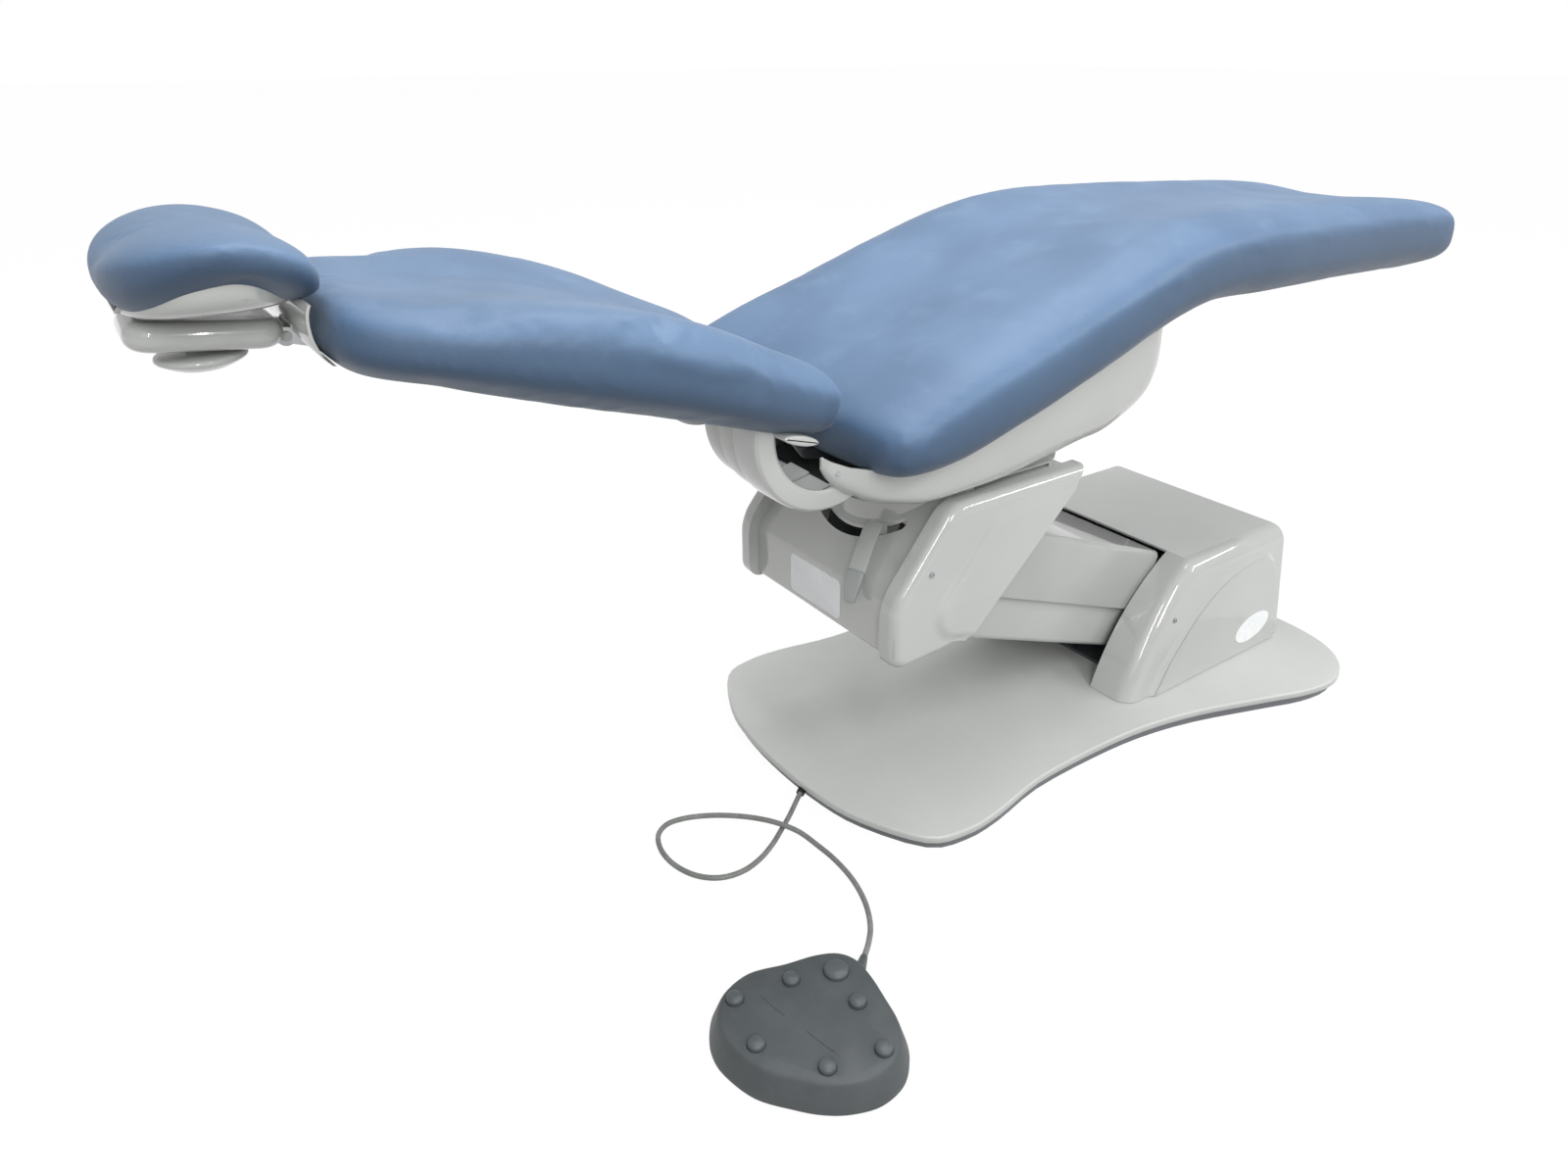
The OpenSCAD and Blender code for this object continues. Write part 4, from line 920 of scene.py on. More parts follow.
def round_bar(
    name: str, place: Sequence[float], radius: float, length: float, along: str = "Z", sides: int = 64
) -> Piece:
    """A round bar about its middle point.

    Args:
        name: Name of the new object.
        place: Its middle, in millimetres.
        radius: Its radius.
        length: Its length.
        along: The axis that it lies along, Y or Z.
        sides: Faces around it.

    Returns:
        The bar.
    """
    turn = (math.pi / 2, 0, 0) if along == "Y" else (0, 0, 0)
    bpy.ops.object.select_all(action="DESELECT")
    bpy.ops.mesh.primitive_cylinder_add(
        vertices=sides, radius=radius * MM, depth=length * MM, location=metres(place), rotation=turn
    )
    obj = bpy.context.object
    obj.name = name
    bpy.ops.object.transform_apply(location=True, rotation=True, scale=True)
    return obj


def spun(
    name: str,
    section: Points,
    centre: Sequence[float],
    axis: Sequence[float],
    angle: float = 360,
    steps: int = 64,
) -> Piece:
    """Draw a section and spin it about an axis.

    Args:
        name: Name of the new object.
        section: Corners of the section, in millimetres.
        centre: A point of the axis.
        axis: Direction of the axis.
        angle: How far it is spun, in degrees.
        steps: Faces along the way.

    Returns:
        The spun form, with its faces pointing outwards.
    """
    obj = draw_outline(name, section)
    bpy.ops.mesh.select_all(action="SELECT")
    whole = abs(angle - 360) < 0.01
    if whole:
        bpy.ops.mesh.delete(type="ONLY_FACE")
        bpy.ops.mesh.select_all(action="SELECT")
    bpy.ops.mesh.spin(
        steps=steps, angle=math.radians(angle), center=metres(centre), axis=Vector(axis), use_auto_merge=whole
    )
    face_outwards(weld=True)
    return obj


def copied(obj: Piece, name: str, place: Matrix) -> Piece:
    """Copy a piece with a mesh of its own, and move the copy's mesh.

    Args:
        obj: The piece.
        name: Name of the copy.
        place: The move, in metres; one that mirrors turns the faces round again.

    Returns:
        The copy.
    """
    twin = obj.copy()
    twin.data = obj.data.copy()
    twin.name = name
    bpy.context.scene.collection.objects.link(twin)
    twin.data.transform(place)
    if place.to_3x3().determinant() < 0:
        twin.data.flip_normals()
    twin.data.update()
    return twin


ACROSS = Matrix.Scale(-1, 4, Vector((0, 1, 0)))


def skin_loft(name: str, rings: Sequence[Points], thick: float) -> Piece:
    """A tray through rows of points, for moulded shells with a double curve.

    Args:
        name: Name of the new object.
        rings: Rows of points in millimetres, each as long as the next, open at the top.
        thick: Thickness of its wall.

    Returns:
        The tray, closed at both ends.
    """
    n = len(rings[0])
    verts = [p for ring in rings for p in ring]
    faces = [
        (j * n + k, (j + 1) * n + k, (j + 1) * n + k + 1, j * n + k + 1)
        for j in range(len(rings) - 1)
        for k in range(n - 1)
    ]
    faces.append(tuple(range(n)))
    faces.append(tuple(reversed(range((len(rings) - 1) * n, len(rings) * n))))
    obj = mesh_from(name, verts, faces)
    wall(obj, thick)
    return obj


def tray_row(
    x: float, low: float, high: float, half: float, sides: int, powers: Point2 = (0.45, 0.6)
) -> list[Point3]:
    """Half a ring across the width of a tray, open at its top.

    Args:
        x: Place along the tray.
        low: Height of its underside.
        high: Height of its rim.
        half: Half its width.
        sides: Faces across it.
        powers: How boxy it is, across and down; smaller is boxier.

    Returns:
        The row's points.
    """
    row = []
    for k in range(sides + 1):
        a = math.pi + math.pi * k / sides
        across = half * signed_power(math.cos(a), powers[0])
        row.append((x, across, high + (high - low) * signed_power(math.sin(a), powers[1])))
    return row


# Upholstery

Station = tuple[float, float, float, float, float, float]


def signed_power(value: float, power: float) -> float:
    """A power that keeps the sign of its base."""
    return math.copysign(abs(value) ** power, value)


@dataclass
class Cushion:
    """A padded piece, lofted through stations, swelled as cloth and covered in vinyl.

    A station is a place along the cushion, its underside, its top, its half width, the depth of its dish
    and how far its lower corners lift. The places are in the cushion's own plane.
    """

    name: str
    node: str
    body: Body
    stations: list[Station]
    to_frame: Callable[[float, float, float], Point3]
    sides: int = 64
    steps: int = 4
    voxel: float = 6
    pressure: float = 4.0
    swell: float = 5.0
    drawn_in: float = 0
    smooth: int = 3
    fill: float = 0.85
    wrap: float = 5
    side_power: float = 0.56
    top_power: float = 0.66
    under_side: float = 0.44
    under_power: float = 0.46

    def ring(self, station: Sequence[float]) -> list[Point3]:
        """One closed ring of points around a station.

        Args:
            station: Place, underside, top, half width, dish and corner lift.

        Returns:
            The ring's points in the row frame, in millimetres.
        """
        s, low, high, half, dish, lift = station
        low, high, half = low + self.drawn_in, high - self.drawn_in, half - self.drawn_in
        ring = []
        middle = (low + high) / 2
        for k in range(self.sides):
            a = math.radians(360 * (k + 0.5) / self.sides)
            above = math.sin(a) > 0
            across = half * signed_power(math.cos(a), self.side_power if above else self.under_side)
            w = across / half
            shift = lift * w**4 / 2
            if above:
                rise = (high - middle - 0.8 * shift) * math.sin(a) ** self.top_power
                up = middle + shift + rise - dish * (1 - w * w) ** 2
            else:
                drop = middle - low + self.wrap - shift
                up = middle + shift - drop * abs(math.sin(a)) ** self.under_power
            ring.append(self.to_frame(s, across, up))
        return ring

    def loft(self) -> Piece:
        """Loft the closed pad through its stations."""
        line = smooth_line([s[:3] for s in self.stations], self.steps)
        rest = smooth_line([s[3:] for s in self.stations], self.steps)
        first, last = line[0][0], line[-1][0]
        verts: list[Point3] = []
        rings = [[*a, *b] for a, b in zip(line, rest)]
        step = 1 if last > first else -1
        rings[0][0] += step * self.drawn_in
        rings[-1][0] -= step * self.drawn_in
        for ring in rings:
            verts.extend(self.ring(ring))
        n = self.sides
        faces = [
            (j * n + k, j * n + (k + 1) % n, (j + 1) * n + (k + 1) % n, (j + 1) * n + k)
            for j in range(len(rings) - 1)
            for k in range(n)
        ]
        faces.append(tuple(range(n)))
        faces.append(tuple(reversed(range((len(rings) - 1) * n, len(rings) * n))))
        return mesh_from(self.name, verts, faces)

    def pad(self, obj: Piece) -> None:
        """Swell the pad as cloth filled with air, and cap how far its skin may move.

        Args:
            obj: The lofted pad, remeshed.
        """
        rest = [v.co.copy() for v in obj.data.vertices]
        activate(obj)
        cloth = obj.modifiers.new("cloth", "CLOTH")
        cloth.settings.use_pressure = True
        cloth.settings.uniform_pressure_force = self.pressure
        cloth.settings.tension_stiffness = 15
        cloth.settings.compression_stiffness = 15
        cloth.settings.bending_stiffness = 5
        cloth.settings.quality = 3
        cloth.settings.effector_weights.gravity = 0
        cloth.collision_settings.use_collision = False
        scene = bpy.context.scene
        scene.frame_start, scene.frame_end = 1, 20
        for number in range(1, 21):
            scene.frame_set(number)
        bpy.ops.object.modifier_apply(modifier=cloth.name)
        scene.frame_set(1)
        cap = self.swell * MM
        for vertex, home in zip(obj.data.vertices, rest):
            move = vertex.co - home
            if move.length > cap:
                vertex.co = home + move * (cap / move.length)

    def map_painted_shade(self, obj: Piece) -> None:
        """Lay a UV map whose U runs from 0 where the surface faces up to 1 where it faces down under the roll
        of the edge, as the mask of the vinyl's painted shade.
        """
        roll = obj.data.uv_layers.new(name="roll")
        vertices = obj.data.vertices
        up = Vector(self.to_frame(0, 0, 1)) - Vector(self.to_frame(0, 0, 0))
        for loop in obj.data.loops:
            turned = vertices[loop.vertex_index].normal.dot(up)
            roll.data[loop.index].uv = (max(0.0, min(1.0, 0.5 - turned / 2)), 0.5)

    def build(self, palette: Palette) -> Piece:
        """Make the finished cushion.

        Args:
            palette: The chair's finishes.

        Returns:
            The cushion.
        """
        obj = self.loft()
        settle(obj, 180)
        apply_modifier(obj, "REMESH", mode="VOXEL", voxel_size=self.voxel * MM, adaptivity=0.0)
        apply_modifier(obj, "SMOOTH", factor=0.5, iterations=self.smooth)
        self.pad(obj)
        apply_modifier(obj, "SMOOTH", factor=0.5, iterations=self.smooth // 2)
        apply_modifier(obj, "SUBSURF", levels=1, render_levels=1)
        settle(obj, 180)
        self.map_painted_shade(obj)
        dress(obj, palette.vinyl, self.body, [self.node])
        return obj


@dataclass
class Upholstery:
    """The seat and leg cushion, the back cushion and the headrest cushion."""

    seat_rear: float = -505
    seat_len: float = 1282
    seat_low: float = 547
    seat_rise: float = 230
    seat_half: float = 265
    seat_dish: float = 20
    seat_more: float = 12
    foot_more: float = 34
    seat_shares: tuple[tuple[float, float, float, float], ...] = (
        (0, 0.1, 0.15, 0.84), (0.006, 0.04, 0.2, 0.92), (0.02, 0.0, 0.255, 0.97),
        (0.051, -0.01, 0.34, 0.993), (0.09, 0.01, 0.43, 1), (0.137, 0.078, 0.515, 1),
        (0.191, 0.165, 0.612, 1), (0.246, 0.265, 0.713, 1), (0.3, 0.365, 0.805, 0.996),
        (0.355, 0.465, 0.895, 0.988), (0.402, 0.53, 0.952, 0.977), (0.449, 0.575, 0.987, 0.965),
        (0.503, 0.575, 1, 0.949), (0.566, 0.552, 0.991, 0.934), (0.644, 0.535, 0.974, 0.91),
        (0.722, 0.517, 0.948, 0.887), (0.8, 0.496, 0.922, 0.863), (0.878, 0.474, 0.891, 0.84),
        (0.94, 0.452, 0.855, 0.824), (0.972, 0.452, 0.826, 0.812), (0.988, 0.468, 0.795, 0.793),
        (0.996, 0.505, 0.75, 0.755), (1, 0.56, 0.69, 0.69),
    )
    hinge: Point2 = (-541, 603)
    back_rise: float = 17
    back_start: float = -3
    back_len: float = 538
    back_half: float = 240
    back_h: float = 86
    back_dish: float = 30
    back_rest: float = 3.3
    back_more: float = 8
    back_shares: tuple[tuple[float, float, float, float], ...] = (
        (0, 0.22, 0.4, 0.76), (0.01, 0.07, 0.52, 0.82), (0.032, -0.01, 0.61, 0.87),
        (0.066, -0.03, 0.68, 0.905), (0.125, -0.02, 0.74, 0.94), (0.215, 0, 0.84, 0.97),
        (0.32, 0.02, 0.97, 0.99), (0.43, 0.04, 1.03, 1), (0.54, 0.04, 1.02, 0.99),
        (0.645, 0.04, 0.95, 0.96), (0.75, 0.04, 0.79, 0.9), (0.84, 0.04, 0.62, 0.83),
        (0.91, 0, 0.55, 0.75), (0.957, 0, 0.49, 0.69), (0.985, 0.05, 0.43, 0.62), (1, 0.16, 0.34, 0.54),
    )
    rest_tip: float = -1202
    rest_len: float = 162
    rest_low: float = 802
    rest_h: float = 81
    rest_half: float = 140
    rest_dish: float = 10
    rest_arch: float = 37
    rest_shares: tuple[tuple[float, float, float, float], ...] = (
        (0, 0.28, 0.46, 0.3), (0.03, 0.15, 0.6, 0.48), (0.1, 0.04, 0.73, 0.69), (0.21, 0, 0.83, 0.86),
        (0.35, 0.02, 0.89, 0.96), (0.48, 0.04, 0.9, 1), (0.62, 0.03, 0.88, 0.995), (0.76, 0, 0.81, 0.97),
        (0.87, 0, 0.71, 0.92), (0.95, 0.02, 0.58, 0.85), (1, 0.1, 0.44, 0.74),
    )

    def on_back(self, s: float, across: float, up: float) -> Point3:
        """A point up the back from the hinge, across it and square to it."""
        return tilted(self.hinge, self.back_rise, s, across, up)

    def build(self, palette: Palette) -> None:
        """Make the three cushions.

        Args:
            palette: The chair's finishes.
        """
        seat = [
            (
                self.seat_rear + self.seat_len * s + self.foot_more * max(0.0, s - 0.4) / 0.6,
                self.seat_low + self.seat_rise * low,
                self.seat_low + self.seat_rise * high + self.seat_more * min(1, 8 * (high - low)),
                self.seat_half * half,
                self.seat_dish * min(1, 8 * (high - low)),
                0.0,
            )
            for s, low, high, half in self.seat_shares
        ]
        Cushion(
            "seat_and_leg_cushion",
            "seat_cushion",
            Body.SEAT,
            seat,
            lambda s, y, z: (s, y, z),
            voxel=10,
            wrap=18,
            top_power=0.6,
        ).build(palette)
        back = [
            (
                self.back_start + self.back_len * s,
                self.back_rest + self.back_h * (low - 0.04),
                self.back_rest + self.back_h * high + self.back_more * min(1, 4 * (high - low)),
                self.back_half * half,
                self.back_dish * max(0.0, high - 0.35) / 0.65,
                0.0,
            )
            for s, low, high, half in self.back_shares
        ]
        Cushion(
            "backrest_cushion", "back_cushion", Body.BACK, back, self.on_back, voxel=6, wrap=12
        ).build(palette)
        rest = [
            (
                self.rest_tip + self.rest_len * s,
                self.rest_low + self.rest_h * low,
                self.rest_low + self.rest_h * high,
                self.rest_half * half,
                self.rest_dish * high,
                self.rest_arch * math.sin(math.pi * s) ** 0.6 if 0 < s < 1 else 0.0,
            )
            for s, low, high, half in self.rest_shares
        ]
        Cushion(
            "headrest_pad",
            "headrest_cushion",
            Body.HEADREST,
            rest,
            lambda s, y, z: (s, y, z),
            voxel=4,
            swell=3,
            wrap=4,
            side_power=0.74,
            top_power=0.86,
        ).build(palette)


# Cord of the foot control


@dataclass
class ControlCord:
    """The cord from the base plate to the foot control, along the source's route."""

    diameter: float = 7
    route: tuple[Point3, ...] = (
        (-492, -57, 8), (-504, -65, 6.5), (-528, -82, 3.8), (-552, -98, 3.6), (-580, -116, 3.6),
        (-610, -130, 3.6), (-641, -136, 3.6), (-671, -129, 3.6), (-694, -108, 3.6), (-707, -76, 3.6),
        (-708, -42, 3.6), (-697, -13, 3.6), (-676, 0, 3.6), (-652, -3, 3.8), (-628, -15, 5),
        (-606, -33, 7.5), (-584, -56, 10), (-566, -79, 11.3), (-553, -100, 11.3), (-541, -124, 9),
        (-534, -154, 5), (-531, -190, 3.7), (-535, -232, 3.6), (-547, -271, 3.6), (-566, -304, 4.6),
        (-588, -327, 7.4), (-607, -342, 10),
    )

    def build(self, palette: Palette) -> None:
        """Args:
            palette: The chair's finishes.
        """
        line = smooth_line(self.route, 4)
        data = bpy.data.curves.new("control_cord", "CURVE")
        data.dimensions = "3D"
        spline = data.splines.new("POLY")
        spline.points.add(len(line) - 1)
        for point, place in zip(spline.points, line):
            point.co = (*metres(place), 1.0)
        data.bevel_depth = self.diameter / 2 * MM
        data.bevel_resolution = 6
        data.use_fill_caps = True
        obj = bpy.data.objects.new("control_cord", data)
        bpy.context.scene.collection.objects.link(obj)
        length = sum((b - a).length for a, b in zip(line, line[1:])) * MM
        dress(obj, palette.cord, Body.BASE, ["cord"])
        log.info("cord is %.3f m long", length)


# Base


@dataclass
class BasePlate:
    """The painted floor plate with its waisted outline."""

    half_len: float = 490
    half_width: float = 347
    low: float = 14
    high: float = 24
    edge: float = 3
    shares: tuple[Point2, ...] = (
        (-1, 0), (-0.99, 0.25), (-0.955, 0.46), (-0.86, 0.7), (-0.75, 0.757), (-0.62, 0.75),
        (-0.42, 0.7), (-0.17, 0.697), (0.04, 0.72), (0.25, 0.784), (0.49, 0.9), (0.65, 0.978),
        (0.78, 0.995), (0.89, 0.93), (0.965, 0.8), (1, 0.6), (1.003, 0.3), (1.003, 0),
    )

    def build(self, palette: Palette) -> None:
        """Make and dress the plate.

        Args:
            palette: The chair's finishes.
        """
        near = [(s * self.half_len, -w * self.half_width) for s, w in self.shares]
        far = [(x, -y) for x, y in reversed(near[1:-1])]
        outline = [(p.x, p.y, self.low) for p in smooth_line([*near, *far], 4, closed=True)]
        obj = prism("floor_plate", outline, (0, 0, self.high - self.low))
        top, low = self.high - 0.5, self.low + 0.5
        round_off(obj, self.edge, lambda a, b: a.z > top and b.z > top, 4)
        round_off(obj, 1, lambda a, b: a.z < low and b.z < low, 2)
        settle(obj, 30)
        dress(obj, palette.plate, Body.BASE, ["base_plate"])


@dataclass
class BaseCover:
    """The one-piece cover on the base, with a raised panel on each side."""

    rear: float = 450
    front: float = 37
    open_x: float = 198
    open_half: float = 128.5
    height: float = 223
    floor: float = 25
    half: float = 188
    flare: float = 14
    edge: float = 27
    wall: float = 3
    panel_proud: float = 6.5
    panel_edge: float = 15
    bulge: Point2 = (0.285, 0.64)
    panel: tuple[Point2, ...] = (
        (62, -6), (80, 20), (98, 44), (128, 81), (160, 112), (199, 144), (243, 170), (290, 187),
        (335, 196), (370, 197), (398, 189), (416, 170), (424, 140), (427, 100), (428, 50), (428, -6),
    )

    def side_at(self, z: float) -> float:
        """Half width of the cover at a height."""
        return self.half + self.flare * (self.height - z) / (self.height - self.floor)

    def lean(self, obj: Piece) -> None:
        """Spread a solid's sides outwards towards the floor."""
        for vertex in obj.data.vertices:
            z = vertex.co.z / MM
            out = abs(vertex.co.y) / MM - self.half
            vertex.co.y = math.copysign((self.side_at(z) + out) * MM, vertex.co.y)
        obj.data.update()

    def curve(self) -> list[Point2]:
        """The bulged front, from the floor up to the top."""
        ax, az, cx, cz = self.front, self.floor, self.open_x, self.height
        bx = ax + (cx - ax) * self.bulge[0]
        bz = az + (cz - az) * self.bulge[1]
        line = []
        for t in (k / 14 for k in range(15)):
            a, b, c = (1 - t) ** 2, 2 * t * (1 - t), t * t
            line.append((a * ax + b * bx + c * cx, a * az + b * bz + c * cz))
        return line

    def body(self) -> Piece:
        """The hollow body with its opening for the lift arms and its power inlet."""
        side = [*self.curve(), (self.rear, self.height), (self.rear, self.floor)]
        outline = [(x, -self.half, z) for x, z in side]
        obj = prism("base_housing", outline, (0, 2 * self.half, 0))
        self.lean(obj)
        floor = self.floor + 0.5
        round_off(
            obj,
            self.edge,
            lambda a, b: a.y * b.y > 0
            and not (a.z < floor and b.z < floor)
            and abs(a.x + b.x) / 2 < self.rear - 1,
            8,
        )
        round_off(
            obj,
            12,
            lambda a, b: min(a.x, b.x) > self.rear - 0.5 and not (a.z < floor and b.z < floor),
            5,
        )
        take_faces(obj, lambda middle, normal: middle.z < floor and normal.z < -0.9)
        wall(obj, self.wall)
        cut_away(
            obj,
            block("opening", (-60, -self.open_half, 10), (self.open_x, self.open_half, 260)),
            block("inlet", (426, 113.7, 117.7), (460, 146.3, 142.3)),
        )
        return obj

    def side_panel(self) -> Piece:
        """The raised panel of the near side."""
        outline = [(p.x, -self.half + 0.5, p.y) for p in smooth_line(self.panel, 3)]
        obj = raised("side_panel", outline, -1, self.panel_proud, self.panel_edge)
        trim(obj, (0, 0, self.floor + 0.4), (0, 0, -1))
        self.lean(obj)
        return obj

    def build(self, palette: Palette) -> None:
        """Make and dress the cover.

        Args:
            palette: The chair's finishes.
        """
        obj = self.body()
        near = self.side_panel()
        far = copied(near, "far_panel", ACROSS)
        join(obj, near, far)
        settle(obj, 32)
        dress(obj, palette.cover, Body.BASE, ["base_cover"])


# Lift arms


@dataclass
class LiftArms:
    """The two sheet covers that slide over each other along the lift links."""

    rise: float = 21
    low_pivot: Point2 = (200, 80)
    high_pivot: Point2 = (235, 175)
    start: float = 67
    end: float = 485
    half: float = 126
    lap: float = 8
    wall: float = 2.5
    upper: Point2 = (-76, 26)
    lower: Point2 = (-45, 45)
    lower_start: float = 60
    floor_start: float = 135
    edge: float = 9

    def on_link(self, pivot: Point2, s: float, p: float) -> Point2:
        """A point along a link and square to it, as X and Z."""
        x, _, z = tilted(pivot, self.rise, s, 0, p)
        return (x, z)

    def along(self, pivot: Point2, point: Vector) -> Point2:
        """Place of a point along a link and square to it."""
        a = math.radians(self.rise)
        dx, dz = point.x - pivot[0], point.z - pivot[1]
        return (-dx * math.cos(a) + dz * math.sin(a), dx * math.sin(a) + dz * math.cos(a))

    def channel(
        self, name: str, pivot: Point2, start: float, span: Point2, half: float, closed: float
    ) -> Piece:
        """One U-shaped cover.

        Args:
            name: Name of the piece.
            pivot: The link's base pivot.
            start: Where it starts along the link.
            span: Its lowest and highest place square to the link.
            half: Half its width.
            closed: The side of the span that is closed.

        Returns:
            The cover.
        """
        low, high = span
        corners = [(start, low), (self.end, low), (self.end, high), (start, high)]
        outline = [(x, -half, z) for x, z in (self.on_link(pivot, s, p) for s, p in corners)]
        obj = prism(name, outline, (0, 2 * half, 0))

        def at(point: Vector) -> float:
            """Place of a point square to the link."""
            return self.along(pivot, point)[1]

        round_off(
            obj,
            self.edge,
            lambda a, b: a.y * b.y > 0 and abs(at(a) - closed) < 0.5 and abs(at(b) - closed) < 0.5,
            7,
        )
        tilt = Vector((math.sin(math.radians(self.rise)), 0, math.cos(math.radians(self.rise))))
        away = -1 if closed == high else 1
        ends = Vector((-math.cos(math.radians(self.rise)), 0, math.sin(math.radians(self.rise))))
        take_faces(obj, lambda middle, normal: normal.dot(tilt) * away > 0.95 or abs(normal.dot(ends)) > 0.95)
        wall(obj, self.wall)
        return obj

    def build(self, palette: Palette) -> None:
        """Make and dress both covers.

        Args:
            palette: The chair's finishes.
        """
        upper = self.channel(
            "upper_arm_sheet", self.high_pivot, self.start, self.upper, self.half, self.upper[1]
        )
        soften(upper, 0.8, 2)
        settle(upper, 30)
        dress(upper, palette.arm, Body.UPPER_LINK, ["upper_arm_cover"])
        half = self.half - self.lap
        lower = self.channel(
            "lower_arm_sheet", self.low_pivot, self.lower_start, self.lower, half, self.lower[0]
        )
        a = math.radians(self.rise)
        middle = self.on_link(self.low_pivot, (self.lower_start + self.floor_start) / 2 - 20, self.lower[0])
        tool = block(
            "floor_cut",
            (middle[0] - 57.5, -half + 12, middle[1] - 15),
            (middle[0] + 57.5, half - 12, middle[1] + 15),
        )
        turn = Matrix.Translation(metres((middle[0], 0, middle[1]))) @ Matrix.Rotation(a, 4, "Y")
        tool.data.transform(turn @ Matrix.Translation(-metres((middle[0], 0, middle[1]))))
        cut_away(lower, tool)
        soften(lower, 0.8, 2)
        settle(lower, 30)
        dress(lower, palette.arm, Body.LOWER_LINK, ["lower_arm_cover"])


# Head housing


@dataclass
class HeadHousing:
    """The centre cover and the two side covers around the head of the lift."""

    front: float = -419
    half: float = 152
    low: float = 247
    crease: float = 329
    top: float = 452
    slope: float = 1.09
    rear: float = -104
    foot: float = -385
    wall: float = 3
    swivel: float = -200
    bearing: float = 76
    slot: float = 178
    slot_half: float = 6
    slot_from: float = -20
    slot_to: float = 32
    side_in: float = 152.3
    side_out: float = 182
    side_edge: float = 15
    tip: Point2 = (-88, 455)
    heel: Point2 = (-314, 248)
    panel_proud: float = 5.5
    panel_edge: float = 17
    corners: tuple[Point3, ...] = (
        (-436, 243, 24), (-314, 248, 36), (-88, 455, 0), (-340, 455, 20), (-436, 338, 22),
    )
    band: tuple[Point2, ...] = (
        (-40, 447), (-90, 444), (-136, 442), (-207, 438), (-256, 431), (-285, 418), (-302, 400),
        (-320, 373), (-345, 347), (-362, 328), (-370, 306), (-363, 280), (-344, 263), (-318, 256),
        (-296, 246), (-272, 226), (-200, 290), (-100, 378),
    )

    def slot_tool(self) -> Piece:
        """Cutting form of the arc slot, with round ends."""
        first, last = 180 + self.slot_from, 180 + self.slot_to
        near, far = self.slot - self.slot_half, self.slot + self.slot_half

        def at(radius: float, angle: float) -> Point3:
            """A point of the plan about the swivel."""
            a = math.radians(angle)
            return (self.swivel + radius * math.cos(a), radius * math.sin(a), 335)

        def round_end(angle: float, turned: float) -> list[Point3]:
            """Points around the round end of the slot at an angle."""
            end = at(self.slot, angle)
            turns = [math.radians(turned + 30 * k) for k in range(1, 6)]
            half = self.slot_half
            return [(end[0] + half * math.cos(b), end[1] + half * math.sin(b), 335) for b in turns]

        steps = [first + (last - first) * k / 24 for k in range(25)]
        outline = [at(far, a) for a in steps] + round_end(last, last)
        outline += [at(near, a) for a in reversed(steps)] + round_end(first, first + 180)
        return prism("slot_tool", outline, (0, 0, 130))

    def centre_cover(self) -> Piece:
        """The folded cover between the two side covers."""
        slope_end = self.front + (self.top - self.crease) / self.slope
        side = [
            (self.foot, self.low),
            (self.front, self.low),
            (self.front, self.crease),
            (slope_end, self.top),
            (self.rear, self.top),
            (self.rear, self.low),
        ]
        obj = prism("head_centre", [(x, -self.half, z) for x, z in side], (0, 2 * self.half, 0))

        round_off(obj, 16, corner_at(self.front, self.crease), 8)
        round_off(obj, 22, corner_at(slope_end, self.top), 8)
        round_off(obj, 8, corner_at(self.front, self.low), 5)
        take_faces(
            obj,
            lambda middle, normal: normal.x > 0.9
            or (normal.z < -0.9 and middle.x > self.foot)
            or abs(normal.y) > 0.9,
        )
        wall(obj, self.wall)
        cut_away(obj, self.slot_tool(), round_bar("bearing_hole", (self.swivel, 0, 450), self.bearing, 60))
        return obj

    def side_cover(self) -> Piece:
        """The near side cover with its raised band along the slanted rear edge."""
        obj = prism(
            "head_side_near",
            [(x, -self.side_in, z) for x, z, _ in self.corners],
            (0, self.side_in - self.side_out, 0),
        )
        for x, z, radius in self.corners:
            if radius > 0:
                round_off(obj, radius, corner_at(x, z), 6)
        slant = Vector((self.tip[1] - self.heel[1], 0, self.heel[0] - self.tip[0])).normalized()
        heel = Vector((self.heel[0], 0, self.heel[1]))

        def on_slant(point: Vector) -> bool:
            """Whether a point lies on the slanted rear edge."""
            return abs((point - heel).dot(slant)) < 1.5

        outer = -self.side_out + 0.5
        round_off(
            obj,
            self.side_edge,
            lambda a, b: a.y < outer and b.y < outer and not (on_slant(a) and on_slant(b)),
            8,
        )
        line = [(p.x, -self.side_out + 0.5, p.y) for p in smooth_line(self.band, 3, closed=True)]
        band = raised("raised_band", line, -1, self.panel_proud, self.panel_edge)
        trim(band, heel, slant)
        return join(obj, band)

    def build(self, palette: Palette) -> None:
        """Make and dress the three covers.

        Args:
            palette: The chair's finishes.
        """
        centre = self.centre_cover()
        settle(centre, 30)
        dress(centre, palette.cover, Body.HEAD, ["head_front_cover"])
        near = self.side_cover()
        far = copied(near, "head_side_far", ACROSS)
        for obj, node in ((near, "head_near_cover"), (far, "head_far_cover")):
            settle(obj, 32)
            dress(obj, palette.cover, Body.HEAD, [node])


